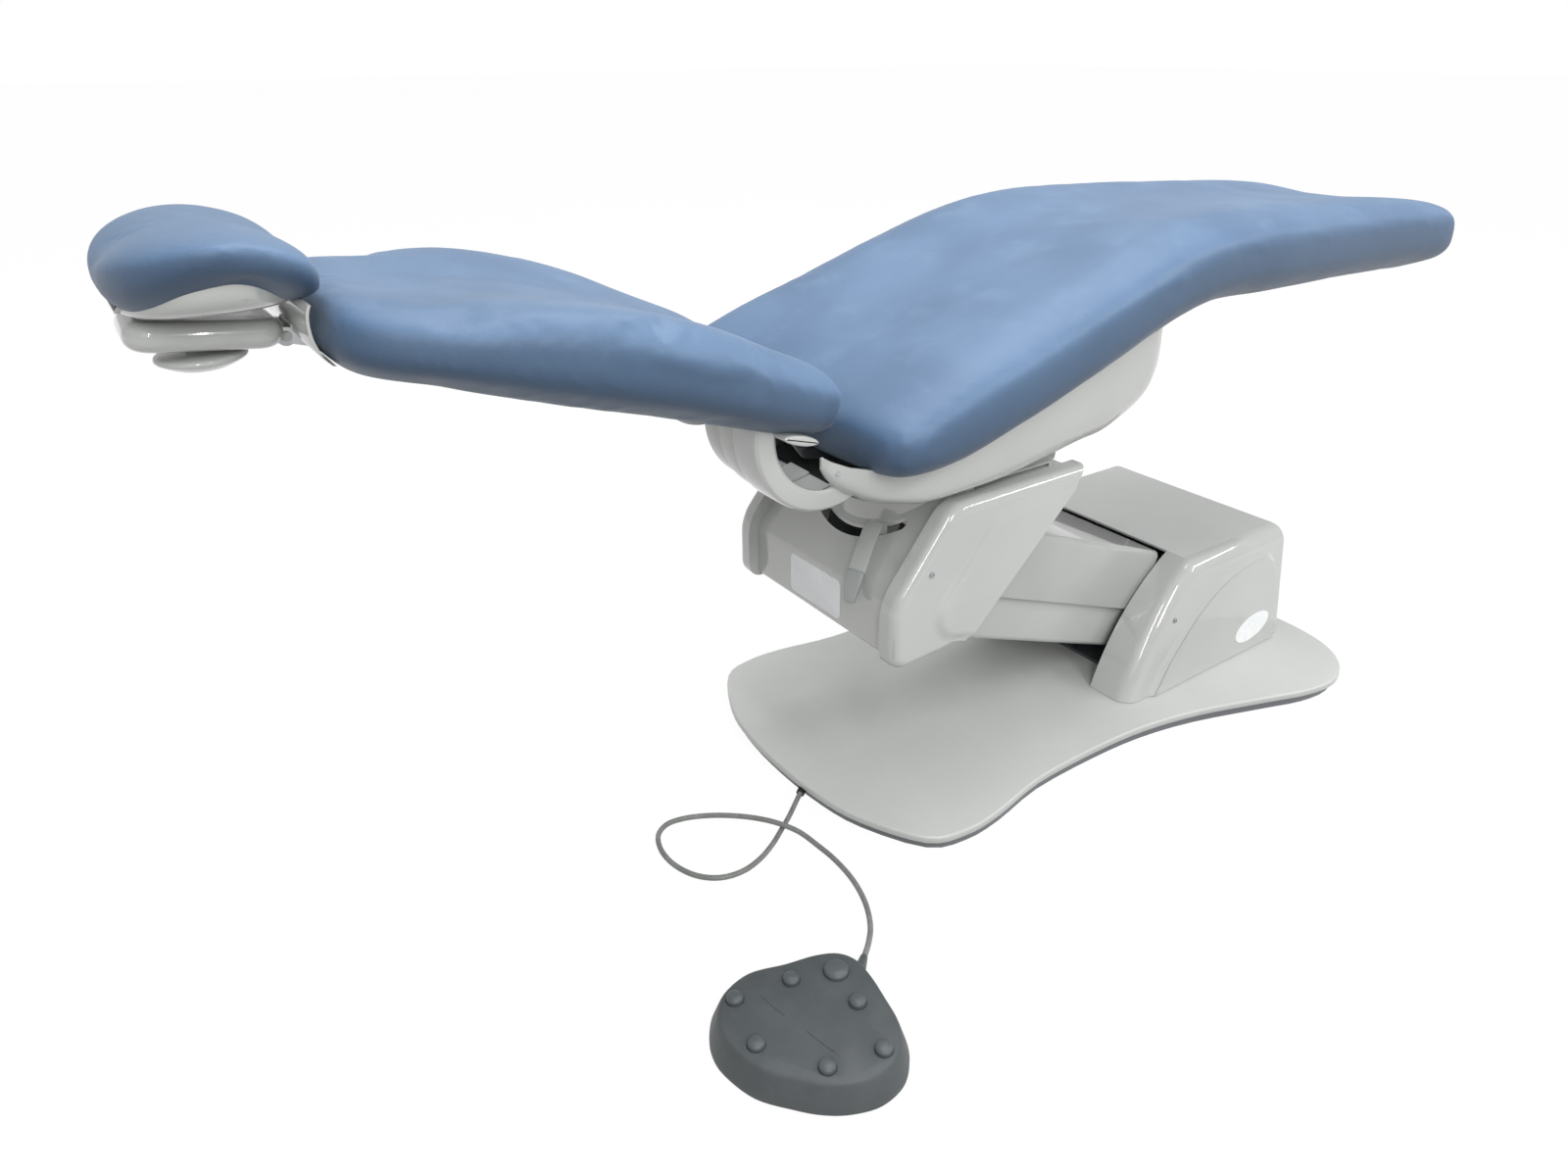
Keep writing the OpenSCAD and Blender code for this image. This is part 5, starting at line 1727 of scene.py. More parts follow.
@dataclass
class BrakeLever:
    """The swivel brake lever: its hub plate, its bent strap and its grip."""

    swivel: float = -200
    turn: float = 21
    hub_r: float = 80
    boss_r: float = 58
    hub_z: float = 412
    thick: float = 4
    width: float = 25
    path: tuple[Point2, ...] = (
        (70, 412), (118, 412), (158, 360), (178, 360), (178, 399), (187, 402), (200, 393), (222, 368),
        (239, 343),
    )
    grip: tuple[Point2, ...] = ((236, 351), (243, 338), (248, 327), (251, 317), (252.5, 310))

    def on_lever(self, r: float, across: float, z: float) -> Point3:
        """A point out along the lever, across it and up."""
        a = math.radians(self.turn)
        x, y = -r * math.cos(a) - across * math.sin(a), -r * math.sin(a) + across * math.cos(a)
        return (self.swivel + x, y, z)

    def strip(self, path: Sequence[Point2], thick: float) -> list[Point2]:
        """Outline of a strip of a thickness along a path."""
        left, right = [], []
        for k, (r, z) in enumerate(path):
            before, after = path[max(0, k - 1)], path[min(len(path) - 1, k + 1)]
            run = Vector((after[0] - before[0], after[1] - before[1])).normalized()
            left.append((r - run.y * thick / 2, z + run.x * thick / 2))
            right.append((r + run.y * thick / 2, z - run.x * thick / 2))
        return [*left, *reversed(right)]

    def bent(self, name: str, path: Sequence[Point2], thick: float, width: float) -> Piece:
        """A strap bent along a path, as wide as given."""
        outline = [self.on_lever(r, -width / 2, z) for r, z in self.strip(path, thick)]
        step = Vector(self.on_lever(0, width, 0)) - Vector(self.on_lever(0, 0, 0))
        return prism(name, outline, step)

    def build(self, palette: Palette) -> None:
        """Make and dress the lever.

        Args:
            palette: The chair's finishes.
        """
        strap = self.bent("brake_strap", self.path, self.thick, self.width)
        soften(strap, 0.9, 2)
        hub = round_bar("lever_hub", (self.swivel, 0, self.hub_z), self.hub_r, self.thick)
        cut_away(hub, round_bar("lever_bore", (self.swivel, 0, self.hub_z), self.boss_r, 20))
        obj = join(strap, hub)
        settle(obj, 30)
        dress(obj, palette.arm, Body.BRAKE_LEVER, ["brake_lever"])
        grip = self.bent("brake_grip", self.grip, 8, self.width + 1)
        lean = Vector(self.on_lever(0, 1, 0)) - Vector(self.on_lever(0, 0, 0))
        middle = Vector(self.on_lever(0, 0, 0))
        for vertex in grip.data.vertices:
            co = vertex.co / MM
            across = (co - middle).dot(lean)
            share = max(0.0, min(1.0, (350 - co.z) / 36))
            narrow = 1 - 0.42 * share * share
            vertex.co = (co - lean * across * (1 - narrow)) * MM
        soften(grip, 3, 4, 35)
        settle(grip, 40)
        dress(grip, palette.lever, Body.BRAKE_LEVER, ())


# Seat pan, back shell and hinge covers


@dataclass
class SeatPan:
    """The glossy moulded tray under the seat."""

    rear: float = -559
    length: float = 562
    low: float = 463
    rise: float = 109
    half: float = 200
    wall: float = 4
    nose: float = 28
    hinge: Point2 = (-541, 603)
    drum: float = 104
    swivel: float = -200
    shares: tuple[Point3, ...] = (
        (0, 0.82, 0.94), (0.0178, 0.68, 0.97), (0.0641, 0.48, 0.99), (0.1441, 0.25, 1),
        (0.2544, 0.07, 1), (0.3025, 0.03, 1), (0.3861, 0, 1), (0.5587, 0, 1), (0.7722, 0.1468, 1),
        (0.8612, 0.2, 1), (0.9626, 0.42, 0.98), (1, 0.64, 0.95),
    )
    rim: tuple[Point2, ...] = (
        (-559, 573), (-549, 568), (-523, 556), (-478, 543), (-416, 534.4), (-389.6, 534.4),
        (-329.4, 552.3), (-260.1, 572.3), (-189.6, 595.3), (-120.4, 618.3), (-49.9, 641.3),
        (10.4, 656.3),
    )

    def build(self, palette: Palette) -> None:
        """Make and dress the tray.

        Args:
            palette: The chair's finishes.
        """
        stations = [
            (
                self.rear + self.length * s + self.nose * max(0.0, s - 0.6) / 0.4,
                self.low + self.rise * d,
                self.half * w,
            )
            for s, d, w in self.shares
        ]
        line = smooth_line(stations, 6)
        rows = []
        for x, low, half in line:
            high = between(self.rim, x)
            rows.append(tray_row(x, min(low, high - 12), high, half, 48, (0.32, 0.38)))
        obj = skin_loft("seat_tray", rows, self.wall)
        cut_away(
            obj,
            round_bar("drum_cut", (self.hinge[0], 0, self.hinge[1]), self.drum, 370, "Y", 96),
            round_bar("spindle_cut", (self.swivel, 0, 470), 57, 90),
        )
        settle(obj, 35)
        dress(obj, palette.cover, Body.SEAT, ["seat_pan"])


def between(table: Sequence[Point2], x: float) -> float:
    """Value at a place of a table of places and values, in straight steps."""
    for (ax, az), (bx, bz) in zip(table, table[1:]):
        if x <= bx:
            return az + (bz - az) * max(0.0, (x - ax) / (bx - ax))
    return table[-1][1]


@dataclass
class BackShell:
    """The shell behind the back cushion, its end lobes, its head lip and the hinge covers."""

    hinge: Point2 = (-541, 603)
    rise: float = 17
    start: float = -10
    length: float = 520
    half: float = 190
    depth: float = 36
    rest: float = 3
    wall: float = 3
    ring_in: float = 74
    ring_out: float = 101
    ring_far: float = 92
    ring_near: float = 181
    ring_from: float = 150
    ring_to: float = 305
    cap_in: float = 58
    cap_out: float = 72
    bands: tuple[Point3, ...] = ((141, 101, 98), (101, 63, 94))
    lip_path: tuple[Point2, ...] = ((522, -10), (534, -2.5), (543, 8), (549, 20), (552, 31), (552, 40))
    shares: tuple[Point3, ...] = (
        (0, 0.4, 0.9), (0.03, 0.55, 0.95), (0.1, 0.8, 0.97), (0.2, 0.84, 0.98), (0.35, 0.78, 0.97),
        (0.5, 0.62, 0.94), (0.65, 0.56, 0.87), (0.8, 0.5, 0.77), (0.9, 0.44, 0.68), (0.98, 0.36, 0.56),
        (1, 0.3, 0.5),
    )

    def on_back(self, s: float, across: float, up: float) -> Point3:
        """A point up the back from the hinge, across it and square to it."""
        return tilted(self.hinge, self.rise, s, across, up)

    def shell(self) -> Piece:
        """The shell with its openings for the hinge and the headrest bar."""
        line = smooth_line([(self.start + self.length * s, d, w) for s, d, w in self.shares], 6)
        rows = []
        for s, depth, width in line:
            low = self.rest - self.depth * depth
            row = tray_row(s, low, self.rest, self.half * width, 44, (0.78, 0.95))
            rows.append([self.on_back(*p) for p in row])
        obj = skin_loft("back_tray", rows, self.wall)
        slot = block("bar_slot", (0, -28, -14), (60, 28, 0))
        a = math.radians(self.rise)
        end = Vector(self.on_back(self.start + self.length - 32, 0, 0)) * MM
        turn = Matrix.Rotation(a, 4, "Y") @ Matrix.Scale(-1, 4, Vector((1, 0, 0)))
        slot.data.transform(Matrix.Translation(end) @ turn)
        slot.data.flip_normals()
        middle = (self.hinge[0], 0, self.hinge[1])
        cut_away(obj, round_bar("hinge_cut", middle, self.ring_in, 208, "Y", 72), slot)
        return obj

    def turned(self, name: str, section: Sequence[Point2], first: float, last: float) -> Piece:
        """A section of radii and places across, spun about the hinge.

        Args:
            name: Name of the form.
            section: Radius and place across of each corner.
            first: Angle where it starts, in degrees.
            last: Angle where it ends.

        Returns:
            The form.
        """
        a = math.radians(first)
        points = [(self.hinge[0] + r * math.cos(a), y, self.hinge[1] + r * math.sin(a)) for r, y in section]
        return spun(name, points, (self.hinge[0], 0, self.hinge[1]), (0, 1, 0), last - first, 44)

    def ring(self) -> Piece:
        """The near hinge cover: its face ring and the two stepped bands behind it."""
        near, out, inn = -self.ring_near, self.ring_out, self.ring_in
        face = [(out, near + 46), (out, near + 9), (out - 1.2, near + 4.5), (out - 4.5, near + 1.2)]
        face += [(out - 9, near), (inn + 3, near), (inn, near + 2), (inn, near + 4)]
        face += [(out - 5, near + 4), (out - 5, near + 46)]
        obj = self.turned("hinge_cover_near", face, self.ring_from, self.ring_to)
        for number, (first, last, radius) in enumerate(self.bands):
            band = [(radius, -last), (radius, 3 - first), (radius - 1, 1 - first)]
            band += [(radius - 4, -first), (radius - 5, -last)]
            join(obj, self.turned(f"hinge_band_{number}", band, self.ring_from + 4, self.ring_to - 16))
        return obj

    def cap(self) -> Piece:
        """The smaller round cap over the far end of the hinge."""
        inn, out, first, last = self.cap_in, self.cap_out, self.ring_far, self.ring_near
        section = [(out, first), (out, last - 5), (out - 2, last - 1.5), (out - 6, last)]
        section += [(inn, last), (inn, first)]
        return self.turned("hinge_cap_far", section, 160, 330)

    def lobe(self) -> Piece:
        """The rounded end of the shell's near edge, under the cushion's roll."""
        outline = []
        for k in range(32):
            b = 2 * math.pi * k / 32
            outline.append(self.on_back(54 + 24 * math.cos(b), -180, -13 + 6 * math.sin(b)))
        obj = prism("shell_lobe_near", outline, (0, -24, 0))
        round_off(obj, 3, lambda p, q: p.y < -199 and q.y < -199, 4)
        return obj

    def lip(self) -> Piece:
        """The thin curved lip that closes the head end of the shell."""
        line = [(p.x, p.y) for p in smooth_line(self.lip_path, 4)]
        right = [(s - 3.2, p + 0.6) for s, p in reversed(line)]
        outline = [self.on_back(s, -116, p) for s, p in [*line, *right]]
        obj = prism("shell_lip", outline, (0, 232, 0))

        def at_end(p: Vector, q: Vector) -> bool:
            """Whether a short edge lies on one of the two ends."""
            return (p - q).length < 6 and abs(abs(p.y) - 116) < 0.5 and abs(p.y - q.y) < 0.5

        round_off(obj, 1.2, at_end, 2)
        return obj

    def build(self, palette: Palette) -> None:
        """Make and dress the shell, its ends and the hinge covers.

        Args:
            palette: The chair's finishes.
        """
        shell = self.shell()
        near_lobe = self.lobe()
        join(shell, near_lobe, copied(near_lobe, "shell_lobe_far", ACROSS))
        settle(shell, 35)
        dress(shell, palette.cover, Body.BACK, ["back_shell"])
        lip = self.lip()
        settle(lip, 35)
        dress(lip, palette.cover, Body.BACK, ())
        near = self.ring()
        join(near, self.cap())
        near.name = "hinge_cover_rings"
        settle(near, 30)
        dress(near, palette.cover, Body.BACK, ["hinge_covers"])


# Headrest


@dataclass
class HeadrestMount:
    """The half-moon shell under the headrest cushion, the link box and the clamping knob."""

    pivot: Point2 = (-1061, 757)
    eye: Point2 = (-1170, 771)
    tip: float = -1204
    length: float = 160
    rest: float = 801
    half: float = 140
    arch: float = 33
    tilt: float = 6.4
    box_start: float = 3
    box_len: float = 130
    box_up: float = 6
    box_w: float = 100
    box_h: float = 27
    box_edge: float = 12.6
    knob_at: float = -1131
    knob_top: float = 752
    knob_section: tuple[Point2, ...] = (
        (0, 4), (12, 4), (12, -1), (20, -1.5), (34, -2.5), (38.5, -4), (40, -6.5), (39.5, -9),
        (34, -12.5), (25, -17), (0, -17),
    )

    def on_box(self, s: float, across: float, up: float) -> Point3:
        """A point along the link box from its pivot, across it and square to it."""
        return tilted(self.pivot, self.tilt, s, across, up)

    def moon(self) -> Piece:
        """The shallow shell whose rim is arched along both sides."""
        rows = []
        for k in range(33):
            t = k / 32
            x = self.tip + self.length * (0.06 + 0.93 * t)
            width = self.half * 0.86 * max(0.34, (1 - abs(2 * t - 1) ** 2.4) ** 0.5)
            rim = self.rest + 1 + self.arch * math.sin(math.pi * t) ** 0.6
            low = self.rest - 6 * min(1.0, 6 * t + 0.4, 6 * (1 - t) + 0.4)
            rows.append(tray_row(x, low, rim, width, 40))
        obj = skin_loft("headrest_moon", rows, 3)
        x, z = self.eye
        foot = block("moon_foot", (x - 10, -13.5, z), (x + 10, 13.5, self.rest - 2))
        eye = round_bar("moon_eye", (x, 0, z), 12, 27, "Y", 32)
        return join(obj, foot, eye)

    def box(self) -> Piece:
        """The rounded link box."""
        first, last, half = self.box_start, self.box_start + self.box_len, self.box_w / 2
        low = self.box_up - self.box_h / 2
        corners = [(first, -half), (last, -half), (last, half), (first, half)]
        outline = [self.on_box(s, y, low) for s, y in corners]
        lift = Vector(self.on_box(0, 0, self.box_h)) - Vector(self.on_box(0, 0, 0))
        obj = prism("link_box", outline, lift)
        up = lift.normalized()
        round_off(obj, 24, lambda a, b: abs((a - b).normalized().dot(up)) > 0.99, 8)
        round_off(obj, self.box_edge, lambda a, b: abs((a - b).normalized().dot(up)) < 0.02, 6)
        x, z = self.pivot
        tongue = block("box_tongue", (x - 34, -18, z - 8), (x, 18, z + 8))
        turn = Matrix.Translation(metres((x, 0, z)))
        turn = turn @ Matrix.Rotation(math.radians(self.tilt), 4, "Y") @ turn.inverted()
        tongue.data.transform(turn)
        eye = round_bar("box_eye", (x, 0, z), 9, 36, "Y", 32)
        pin = round_bar("box_pin", (x, 0, z), 4.9, 56, "Y", 24)
        return join(obj, tongue, eye, pin)

    def knob(self) -> Piece:
        """The turned clamping knob."""
        points = [(self.knob_at + r, 0, self.knob_top + z) for r, z in self.knob_section]
        obj = spun("clamp_knob", points, (self.knob_at, 0, self.knob_top), (0, 0, 1))
        soften(obj, 1.2, 3, 25)
        return obj

    def build(self, palette: Palette) -> None:
        """Make and dress the three pieces.

        Args:
            palette: The chair's finishes.
        """
        moon = self.moon()
        settle(moon, 35)
        dress(moon, palette.cover, Body.HEADREST, ["headrest_shell"])
        box = self.box()
        settle(box, 35)
        dress(box, palette.cover, Body.HEADREST_BOX, ["headrest_box"])
        knob = self.knob()
        settle(knob, 30)
        dress(knob, palette.cover, Body.HEADREST_KNOB, ["headrest_knob"])


# Foot control


@dataclass
class FootControl:
    """The moulded shell of the foot control, with its faint raised lines."""

    at: Point2 = (-722, -395)
    half: float = 100
    low: float = 3
    high: float = 38
    gap: float = 0.5
    button_r: float = 9.5
    big_r: float = 14
    outline: tuple[Point2, ...] = (
        (-0.63, 0.91), (-0.86, 0.69), (-0.97, 0.45), (-0.98, 0.18), (-0.87, -0.21), (-0.62, -0.54),
        (-0.41, -0.76), (-0.17, -0.92), (0.13, -1.02), (0.45, -0.98), (0.68, -0.81), (0.82, -0.57),
        (0.9, -0.25), (0.97, 0.1), (0.98, 0.39), (0.86, 0.61), (0.6, 0.75), (0.22, 0.85), (-0.23, 0.99),
    )
    rings: tuple[Point2, ...] = (
        (0, 1), (0.2, 1), (0.75, 0.935), (0.86, 0.921), (0.93, 0.906), (0.975, 0.888), (1, 0.862),
    )
    buttons: tuple[Point2, ...] = (
        (-0.54, 0.67), (0.11, 0.53), (0.52, -0.13), (-0.67, 0.06), (-0.23, -0.58), (0.37, -0.75),
    )
    big: Point2 = (0.59, 0.34)

    def place(self, share: Point2) -> Point2:
        """A place of the plan."""
        return (self.at[0] + self.half * share[0], self.at[1] + self.half * share[1])

    def shell(self) -> Piece:
        """The domed shell, extruded upwards ring by ring from its outline."""
        base = [(*self.place((p.x, p.y)), self.low) for p in smooth_line(self.outline, 5, closed=True)]
        obj = draw_outline("foot_shell", base)
        centre = metres((*self.at, 0))
        height = self.high - self.low
        for (share, width), (after, wide) in zip(self.rings, self.rings[1:]):
            push_out((0, 0, (after - share) * height))
            size = wide / width
            bpy.ops.transform.resize(value=(size, size, 1), center_override=centre)
        face_outwards()
        tools = [
            round_bar("button_hole", (*self.place(b), self.high), self.button_r + self.gap, 20, "Z", 40)
            for b in self.buttons
        ]
        tools.append(round_bar("button_hole", (*self.place(self.big), self.high), self.big_r + self.gap, 20))
        cut_away(obj, *tools)
        return obj

    def line(self, name: str, start: Point2, end: Point2) -> Piece:
        """A low raised line on the top, pointed at both ends."""
        a, b = Vector(start), Vector(end)
        run = (b - a).normalized()
        side = Vector((-run.y, run.x))
        outline = []
        for start_at, end_at, way in ((a, b, 1), (b, a, -1)):
            for t in range(13):
                bulge = 0.9 * math.sin(math.pi * t / 12) + 0.15
                p = start_at.lerp(end_at, t / 12) + side * (way * bulge)
                outline.append((p.x, p.y, self.high - 0.3))
        return prism(name, outline, (0, 0, 0.9))

    def build(self, palette: Palette) -> None:
        """Make and dress the shell.

        Args:
            palette: The chair's finishes.
        """
        obj = self.shell()
        first = self.line("raised_line_1", (-750, -341), (-744, -376))
        second = self.line("raised_line_2", (-736, -406), (-728, -443))
        settle(obj, 32)
        dress(obj, palette.pod, Body.BASE, ["pod_shell"])
        for ridge in (first, second):
            settle(ridge, 30)
            dress(ridge, palette.pod, Body.BASE, ())


# Small fittings


@dataclass
class Fittings:
    """Bare label plates and recessed screws."""

    screw_r: float = 4
    screw_h: float = 2.2
    recess: float = 1.1

    def label(self) -> Piece:
        """The bare rounded plate on the front of the head housing."""
        y0, y1, z0, z1, x = -49, 66, 259, 318, -419
        obj = prism(
            "front_label_plate",
            [(x + 0.5, y0, z0), (x + 0.5, y1, z0), (x + 0.5, y1, z1), (x + 0.5, y0, z1)],
            (-1.8, 0, 0),
        )
        round_off(obj, 8, lambda a, b: abs(a.x - b.x) > 1, 6)
        round_off(obj, 0.5, lambda a, b: a.x < x - 1 and b.x < x - 1, 2)
        return obj

    def oval(self) -> Piece:
        """The bare oval plate on the near side of the base cover."""
        turn = math.radians(10)
        outline = []
        cover = BaseCover()
        for k in range(48):
            b = 2 * math.pi * k / 48
            u, v = 47 * math.cos(b), 21 * math.sin(b)
            x, z = 354 + u * math.cos(turn) - v * math.sin(turn), 66 + u * math.sin(turn) + v * math.cos(turn)
            outline.append((x, -cover.side_at(z) - cover.panel_proud + 0.4, z))
        return prism("side_label_plate", outline, (0, -1.4, 0))

    def screw(self, name: str, place: Point3, out: float) -> Piece:
        """A domed screw head with a socket recess, facing along Y.

        Args:
            name: Name of the screw.
            place: Middle of the face that it sits on.
            out: -1 for the near side and 1 for the far side.

        Returns:
            The screw head.
        """
        middle = (place[0], place[1] + out * self.screw_h / 2, place[2])
        obj = round_bar(name, middle, self.screw_r, self.screw_h, "Y", 28)
        face = place[1] + out * self.screw_h
        pick_faces(obj, lambda middle, normal: normal.y * out > 0.9)
        bpy.ops.mesh.inset(thickness=1.1 * MM)
        bpy.ops.mesh.inset(thickness=1.0 * MM)
        push_out((0, -out * self.recess, 0))
        close_edit()

        def on_rim(p: Vector) -> bool:
            """Whether a point lies on the outer edge of the head."""
            away = math.hypot(p.x - place[0], p.z - place[2])
            return abs(p.y - face) < 0.01 and away > self.screw_r - 0.1

        round_off(obj, 0.7, lambda a, b: on_rim(a) and on_rim(b), 3)
        return obj

    def build(self, palette: Palette) -> None:
        """Make and dress the plates and screws.

        Args:
            palette: The chair's finishes.
        """
        front = self.label()
        settle(front, 30)
        dress(front, palette.label, Body.HEAD, ())
        oval = self.oval()
        settle(oval, 30)
        dress(oval, palette.label, Body.BASE, ())
        cover, head = BaseCover(), HeadHousing()
        spots = (
            ("cover_screw", (146, cover.side_at(140), 140), Body.BASE, "base_cover_screws"),
            ("head_screw", (-376, head.side_out, 371), Body.HEAD, "head_cover_screws"),
            ("pan_screw", (-540, 194, 553), Body.SEAT, "seat_pan_screws"),
        )
        for name, (x, y, z), body, node in spots:
            near = self.screw(name, (x, -y, z), -1)
            join(near, copied(near, name + "_far", ACROSS))
            near.name = name + "s"
            settle(near, 30)
            dress(near, palette.zinc, body, [node])


@dataclass
class Buttons:
    """The domed rubber buttons of the foot control, each turned about its own axis."""

    pod: FootControl = field(default_factory=FootControl)
    low: float = 30.4
    shoulder: float = 40.4
    top: float = 45.4

    def dome(self, name: str, share: Point2, radius: float) -> Piece:
        """One button, turned about its own axis.

        Args:
            name: Name of the piece.
            share: Its place on the foot control.
            radius: Its radius.

        Returns:
            The button.
        """
        x, y = self.pod.place(share)
        section = [(0, self.low), (radius - 0.4, self.low), (radius, self.low + 1)]
        section.append((radius, self.shoulder - 1))
        rise = self.top - self.shoulder
        for k in range(9):
            a = math.radians(90 * k / 8)
            section.append((radius * math.cos(a) ** 0.75, self.shoulder + rise * math.sin(a)))
        section[-1] = (0, self.top)
        points = [(x + r, y, z) for r, z in section]
        return spun(name, points, (x, y, 0), (0, 0, 1), steps=40)

    def build(self, palette: Palette) -> None:
        """Make and dress every button.

        Args:
            palette: The chair's finishes.
        """
        for number, share in enumerate(self.pod.buttons, 1):
            node = f"button_{number}"
            obj = self.dome(f"dome_{number}", share, self.pod.button_r)
            settle(obj, 40)
            dress(obj, palette.button, Body(node), [node])
        big = self.dome("dome_large", self.pod.big, self.pod.big_r)
        settle(big, 40)
        dress(big, palette.button, Body.BIG_BUTTON, ["big_button"])


# Carried-over CAD nodes


@dataclass
class CarriedNodes:
    """CAD nodes that stay as they are, with the finish of each."""

    finishes: dict[str, tuple[str, ...]] = field(
        default_factory=lambda: {
            "skirt": ("base_skirt",),
            "casting": (
                "base_frame", "lift_motor_bracket", "lower_link", "upper_link", "lift_tube",
                "head_frame", "seat_frame", "back_tube", "back_frame",
            ),
            "steel": (
                "lower_base_shaft", "upper_base_shaft", "lower_head_shaft", "upper_head_shaft",
                "lift_rod", "back_rod", "hinge_shaft", "swivel_spindle", "swivel_bearing",
                "headrest_bar",
            ),
            "zinc": ("power_supply",),
            "cover": ("turret_skirt",),
            "button": ("pod_strain_relief",),
            "dark": ("control_box", "power_inlet", "cord_gland", "pod_base"),
            "rubber": ("pod_feet",),
            "board": ("pod_board",),
            "wood": ("seat_board",),
        }
    )

    def dress(self, palette: Palette) -> None:
        """Give every CAD node its finish.

        Args:
            palette: The chair's finishes.
        """
        for finish, names in self.finishes.items():
            for name in names:
                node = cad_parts[name]
                node.data.materials.clear()
                node.data.materials.append(getattr(palette, finish))
        log.info("dressed %d CAD nodes", sum(len(names) for names in self.finishes.values()))


# Studio


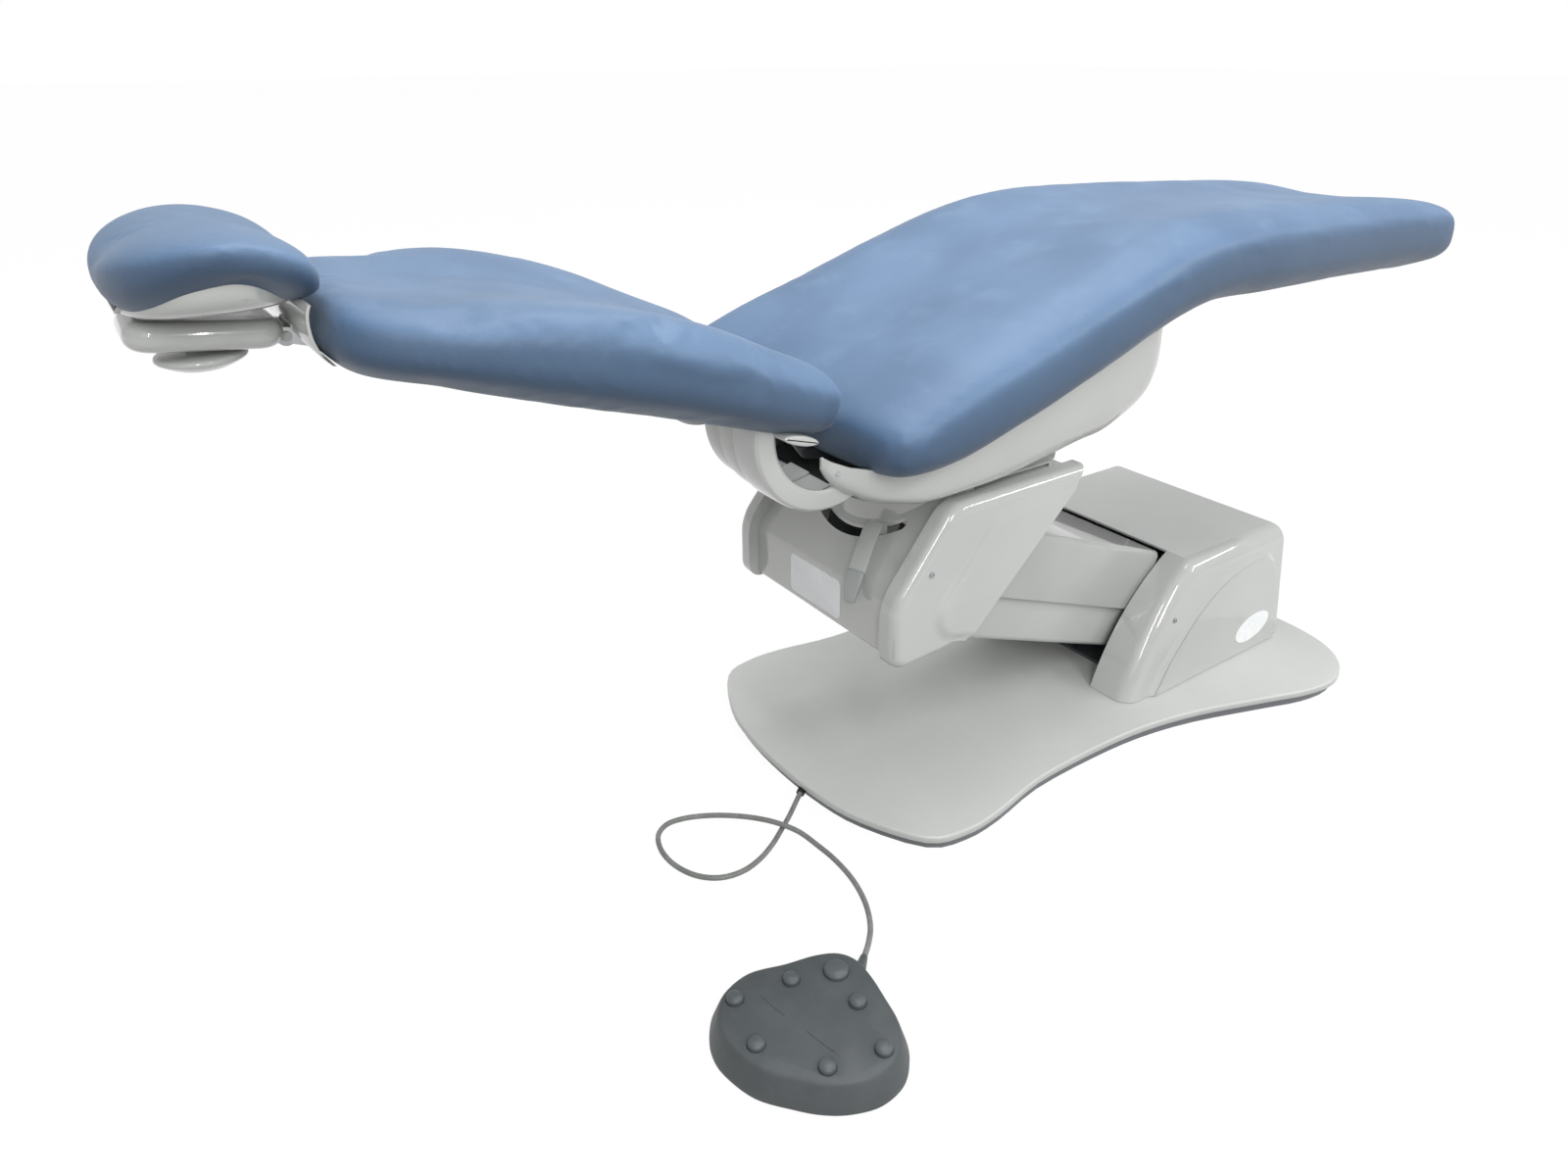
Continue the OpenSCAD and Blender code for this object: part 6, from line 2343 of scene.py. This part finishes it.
@dataclass
class Studio:
    """Camera of the photograph, plain pale floor and soft lamps."""

    focal: float = 1128.58
    centre: Point2 = (800.1, 449.65)
    pitch: float = 20.169
    yaw: float = 35.093
    roll: float = -0.2006
    place: Point3 = (-1257.2, -1109.3, 1019.2)
    sensor: float = 36
    floor_half: float = 30
    key_power: float = 79
    fill_power: float = 9
    strip_power: float = 30
    world_level: float = 0.58
    floor_grey: Colour = (144, 144, 144)
    floor_glow: float = 1.22
    floor_white: float = 0.78

    def camera(self) -> None:
        """Set the camera that the photograph was measured to have."""
        pitch, yaw, roll = (math.radians(v) for v in (self.pitch, self.yaw, self.roll))
        ahead = Vector((math.sin(yaw) * math.cos(pitch), math.cos(yaw) * math.cos(pitch), -math.sin(pitch)))
        right = Vector((math.cos(yaw), -math.sin(yaw), 0))
        up = right.cross(ahead)
        turned_right = math.cos(roll) * right + math.sin(roll) * up
        turned_up = math.cos(roll) * up - math.sin(roll) * right
        data = bpy.data.cameras.new("photo_camera")
        data.sensor_width = self.sensor
        data.lens = self.focal / PHOTO_WIDTH * self.sensor
        data.shift_x = (PHOTO_WIDTH / 2 - self.centre[0]) / PHOTO_WIDTH
        data.shift_y = (self.centre[1] - PHOTO_HEIGHT / 2) / PHOTO_WIDTH
        data.clip_start, data.clip_end = 0.05, 80
        obj = bpy.data.objects.new("photo_camera", data)
        turn = Matrix((turned_right, turned_up, -ahead)).transposed()
        obj.matrix_world = Matrix.Translation(metres(self.place)) @ turn.to_4x4()
        bpy.context.scene.collection.objects.link(obj)
        bpy.context.scene.camera = obj

    def floor(self) -> None:
        """Lay a pale floor that shows white but keeps the chair's shadow."""
        bpy.ops.object.select_all(action="DESELECT")
        bpy.ops.mesh.primitive_plane_add(size=2 * self.floor_half, location=(0, 0, 0))
        obj = bpy.context.object
        obj.name = "studio_floor"
        shop = Shop("studio floor")
        grey = linear(self.floor_grey)
        pale = shop.node("ShaderNodeBsdfDiffuse", {}, {"Color": grey, "Roughness": 0.4})
        glow = {"Color": (1, 1, 1, 1), "Strength": self.floor_glow}
        white = shop.node("ShaderNodeEmission", {}, glow)
        seen = shop.node("ShaderNodeLightPath", out="Is Camera Ray")
        gloss = shop.node("ShaderNodeLightPath", out="Is Glossy Ray")
        through = shop.node("ShaderNodeLightPath", out="Is Transmission Ray")
        share = seen.most(gloss).most(through) * self.floor_white
        both = shop.node("ShaderNodeMixShader", {}, {0: share, 1: pale, 2: white})
        shop.node("ShaderNodeOutputMaterial", {}, {"Surface": both})
        obj.data.materials.append(shop.material)

    def world(self) -> None:
        """Light the room evenly and show a white backdrop."""
        world = bpy.data.worlds.new("studio")
        bpy.context.scene.world = world
        world.use_nodes = True
        tree = world.node_tree
        tree.nodes.clear()
        light = tree.nodes.new("ShaderNodeBackground")
        light.inputs["Color"].default_value = (1, 1, 1, 1)
        light.inputs["Strength"].default_value = self.world_level
        white = tree.nodes.new("ShaderNodeBackground")
        white.inputs["Color"].default_value = (1, 1, 1, 1)
        white.inputs["Strength"].default_value = 1.0
        path = tree.nodes.new("ShaderNodeLightPath")
        mix = tree.nodes.new("ShaderNodeMixShader")
        out = tree.nodes.new("ShaderNodeOutputWorld")
        tree.links.new(path.outputs["Is Camera Ray"], mix.inputs[0])
        tree.links.new(light.outputs[0], mix.inputs[1])
        tree.links.new(white.outputs[0], mix.inputs[2])
        tree.links.new(mix.outputs[0], out.inputs["Surface"])

    def lamp(
        self, name: str, place: Point3, aim: Point3, size: float, power: float, width: float = 0
    ) -> None:
        """Hang one softbox.

        Args:
            name: Name of the lamp.
            place: Where it hangs, in metres.
            aim: The point that it faces.
            size: Length of its side, in metres.
            power: Its power in watts.
            width: Its other side, in metres, where it isn't square.
        """
        data = bpy.data.lights.new(name, "AREA")
        data.shape = "RECTANGLE"
        data.size = size
        data.size_y = width or size
        data.energy = power
        obj = bpy.data.objects.new(name, data)
        obj.location = place
        obj.rotation_euler = (Vector(aim) - Vector(place)).to_track_quat("-Z", "Y").to_euler()
        bpy.context.scene.collection.objects.link(obj)

    def build(self) -> None:
        """Set up the floor, the backdrop, the lamps and the camera."""
        self.camera()
        self.floor()
        self.world()
        self.lamp("softbox_overhead", (0.2, 0.4, 3.4), (-0.1, 0, 0.5), 2.6, self.key_power)
        self.lamp("softbox_near", (-2.6, -2.6, 2.2), (-0.2, 0, 0.4), 2.0, self.fill_power)
        self.lamp("strip_left", (-1.9, -2.6, 2.5), (0, 0, 0.3), 0.1, self.strip_power, 2.2)
        self.lamp("strip_middle", (-0.5, -3.1, 2.4), (0.1, 0, 0.3), 0.1, self.strip_power, 1.8)
        self.lamp("strip_right", (1.9, -1.9, 2.3), (0.1, 0, 0.2), 1.8, self.strip_power, 0.08)
        bpy.context.scene.view_settings.view_transform = "Standard"


def main() -> None:
    """Build the studio and every piece of the chair."""
    Studio().build()
    palette = Palette()
    CarriedNodes().dress(palette)
    ControlCord().build(palette)
    Upholstery().build(palette)
    for part in (
        BasePlate(),
        BaseCover(),
        LiftArms(),
        HeadHousing(),
        BrakeLever(),
        SeatPan(),
        BackShell(),
        HeadrestMount(),
        FootControl(),
        Buttons(),
        Fittings(),
    ):
        part.build(palette)


if __name__ == "__main__":
    main()
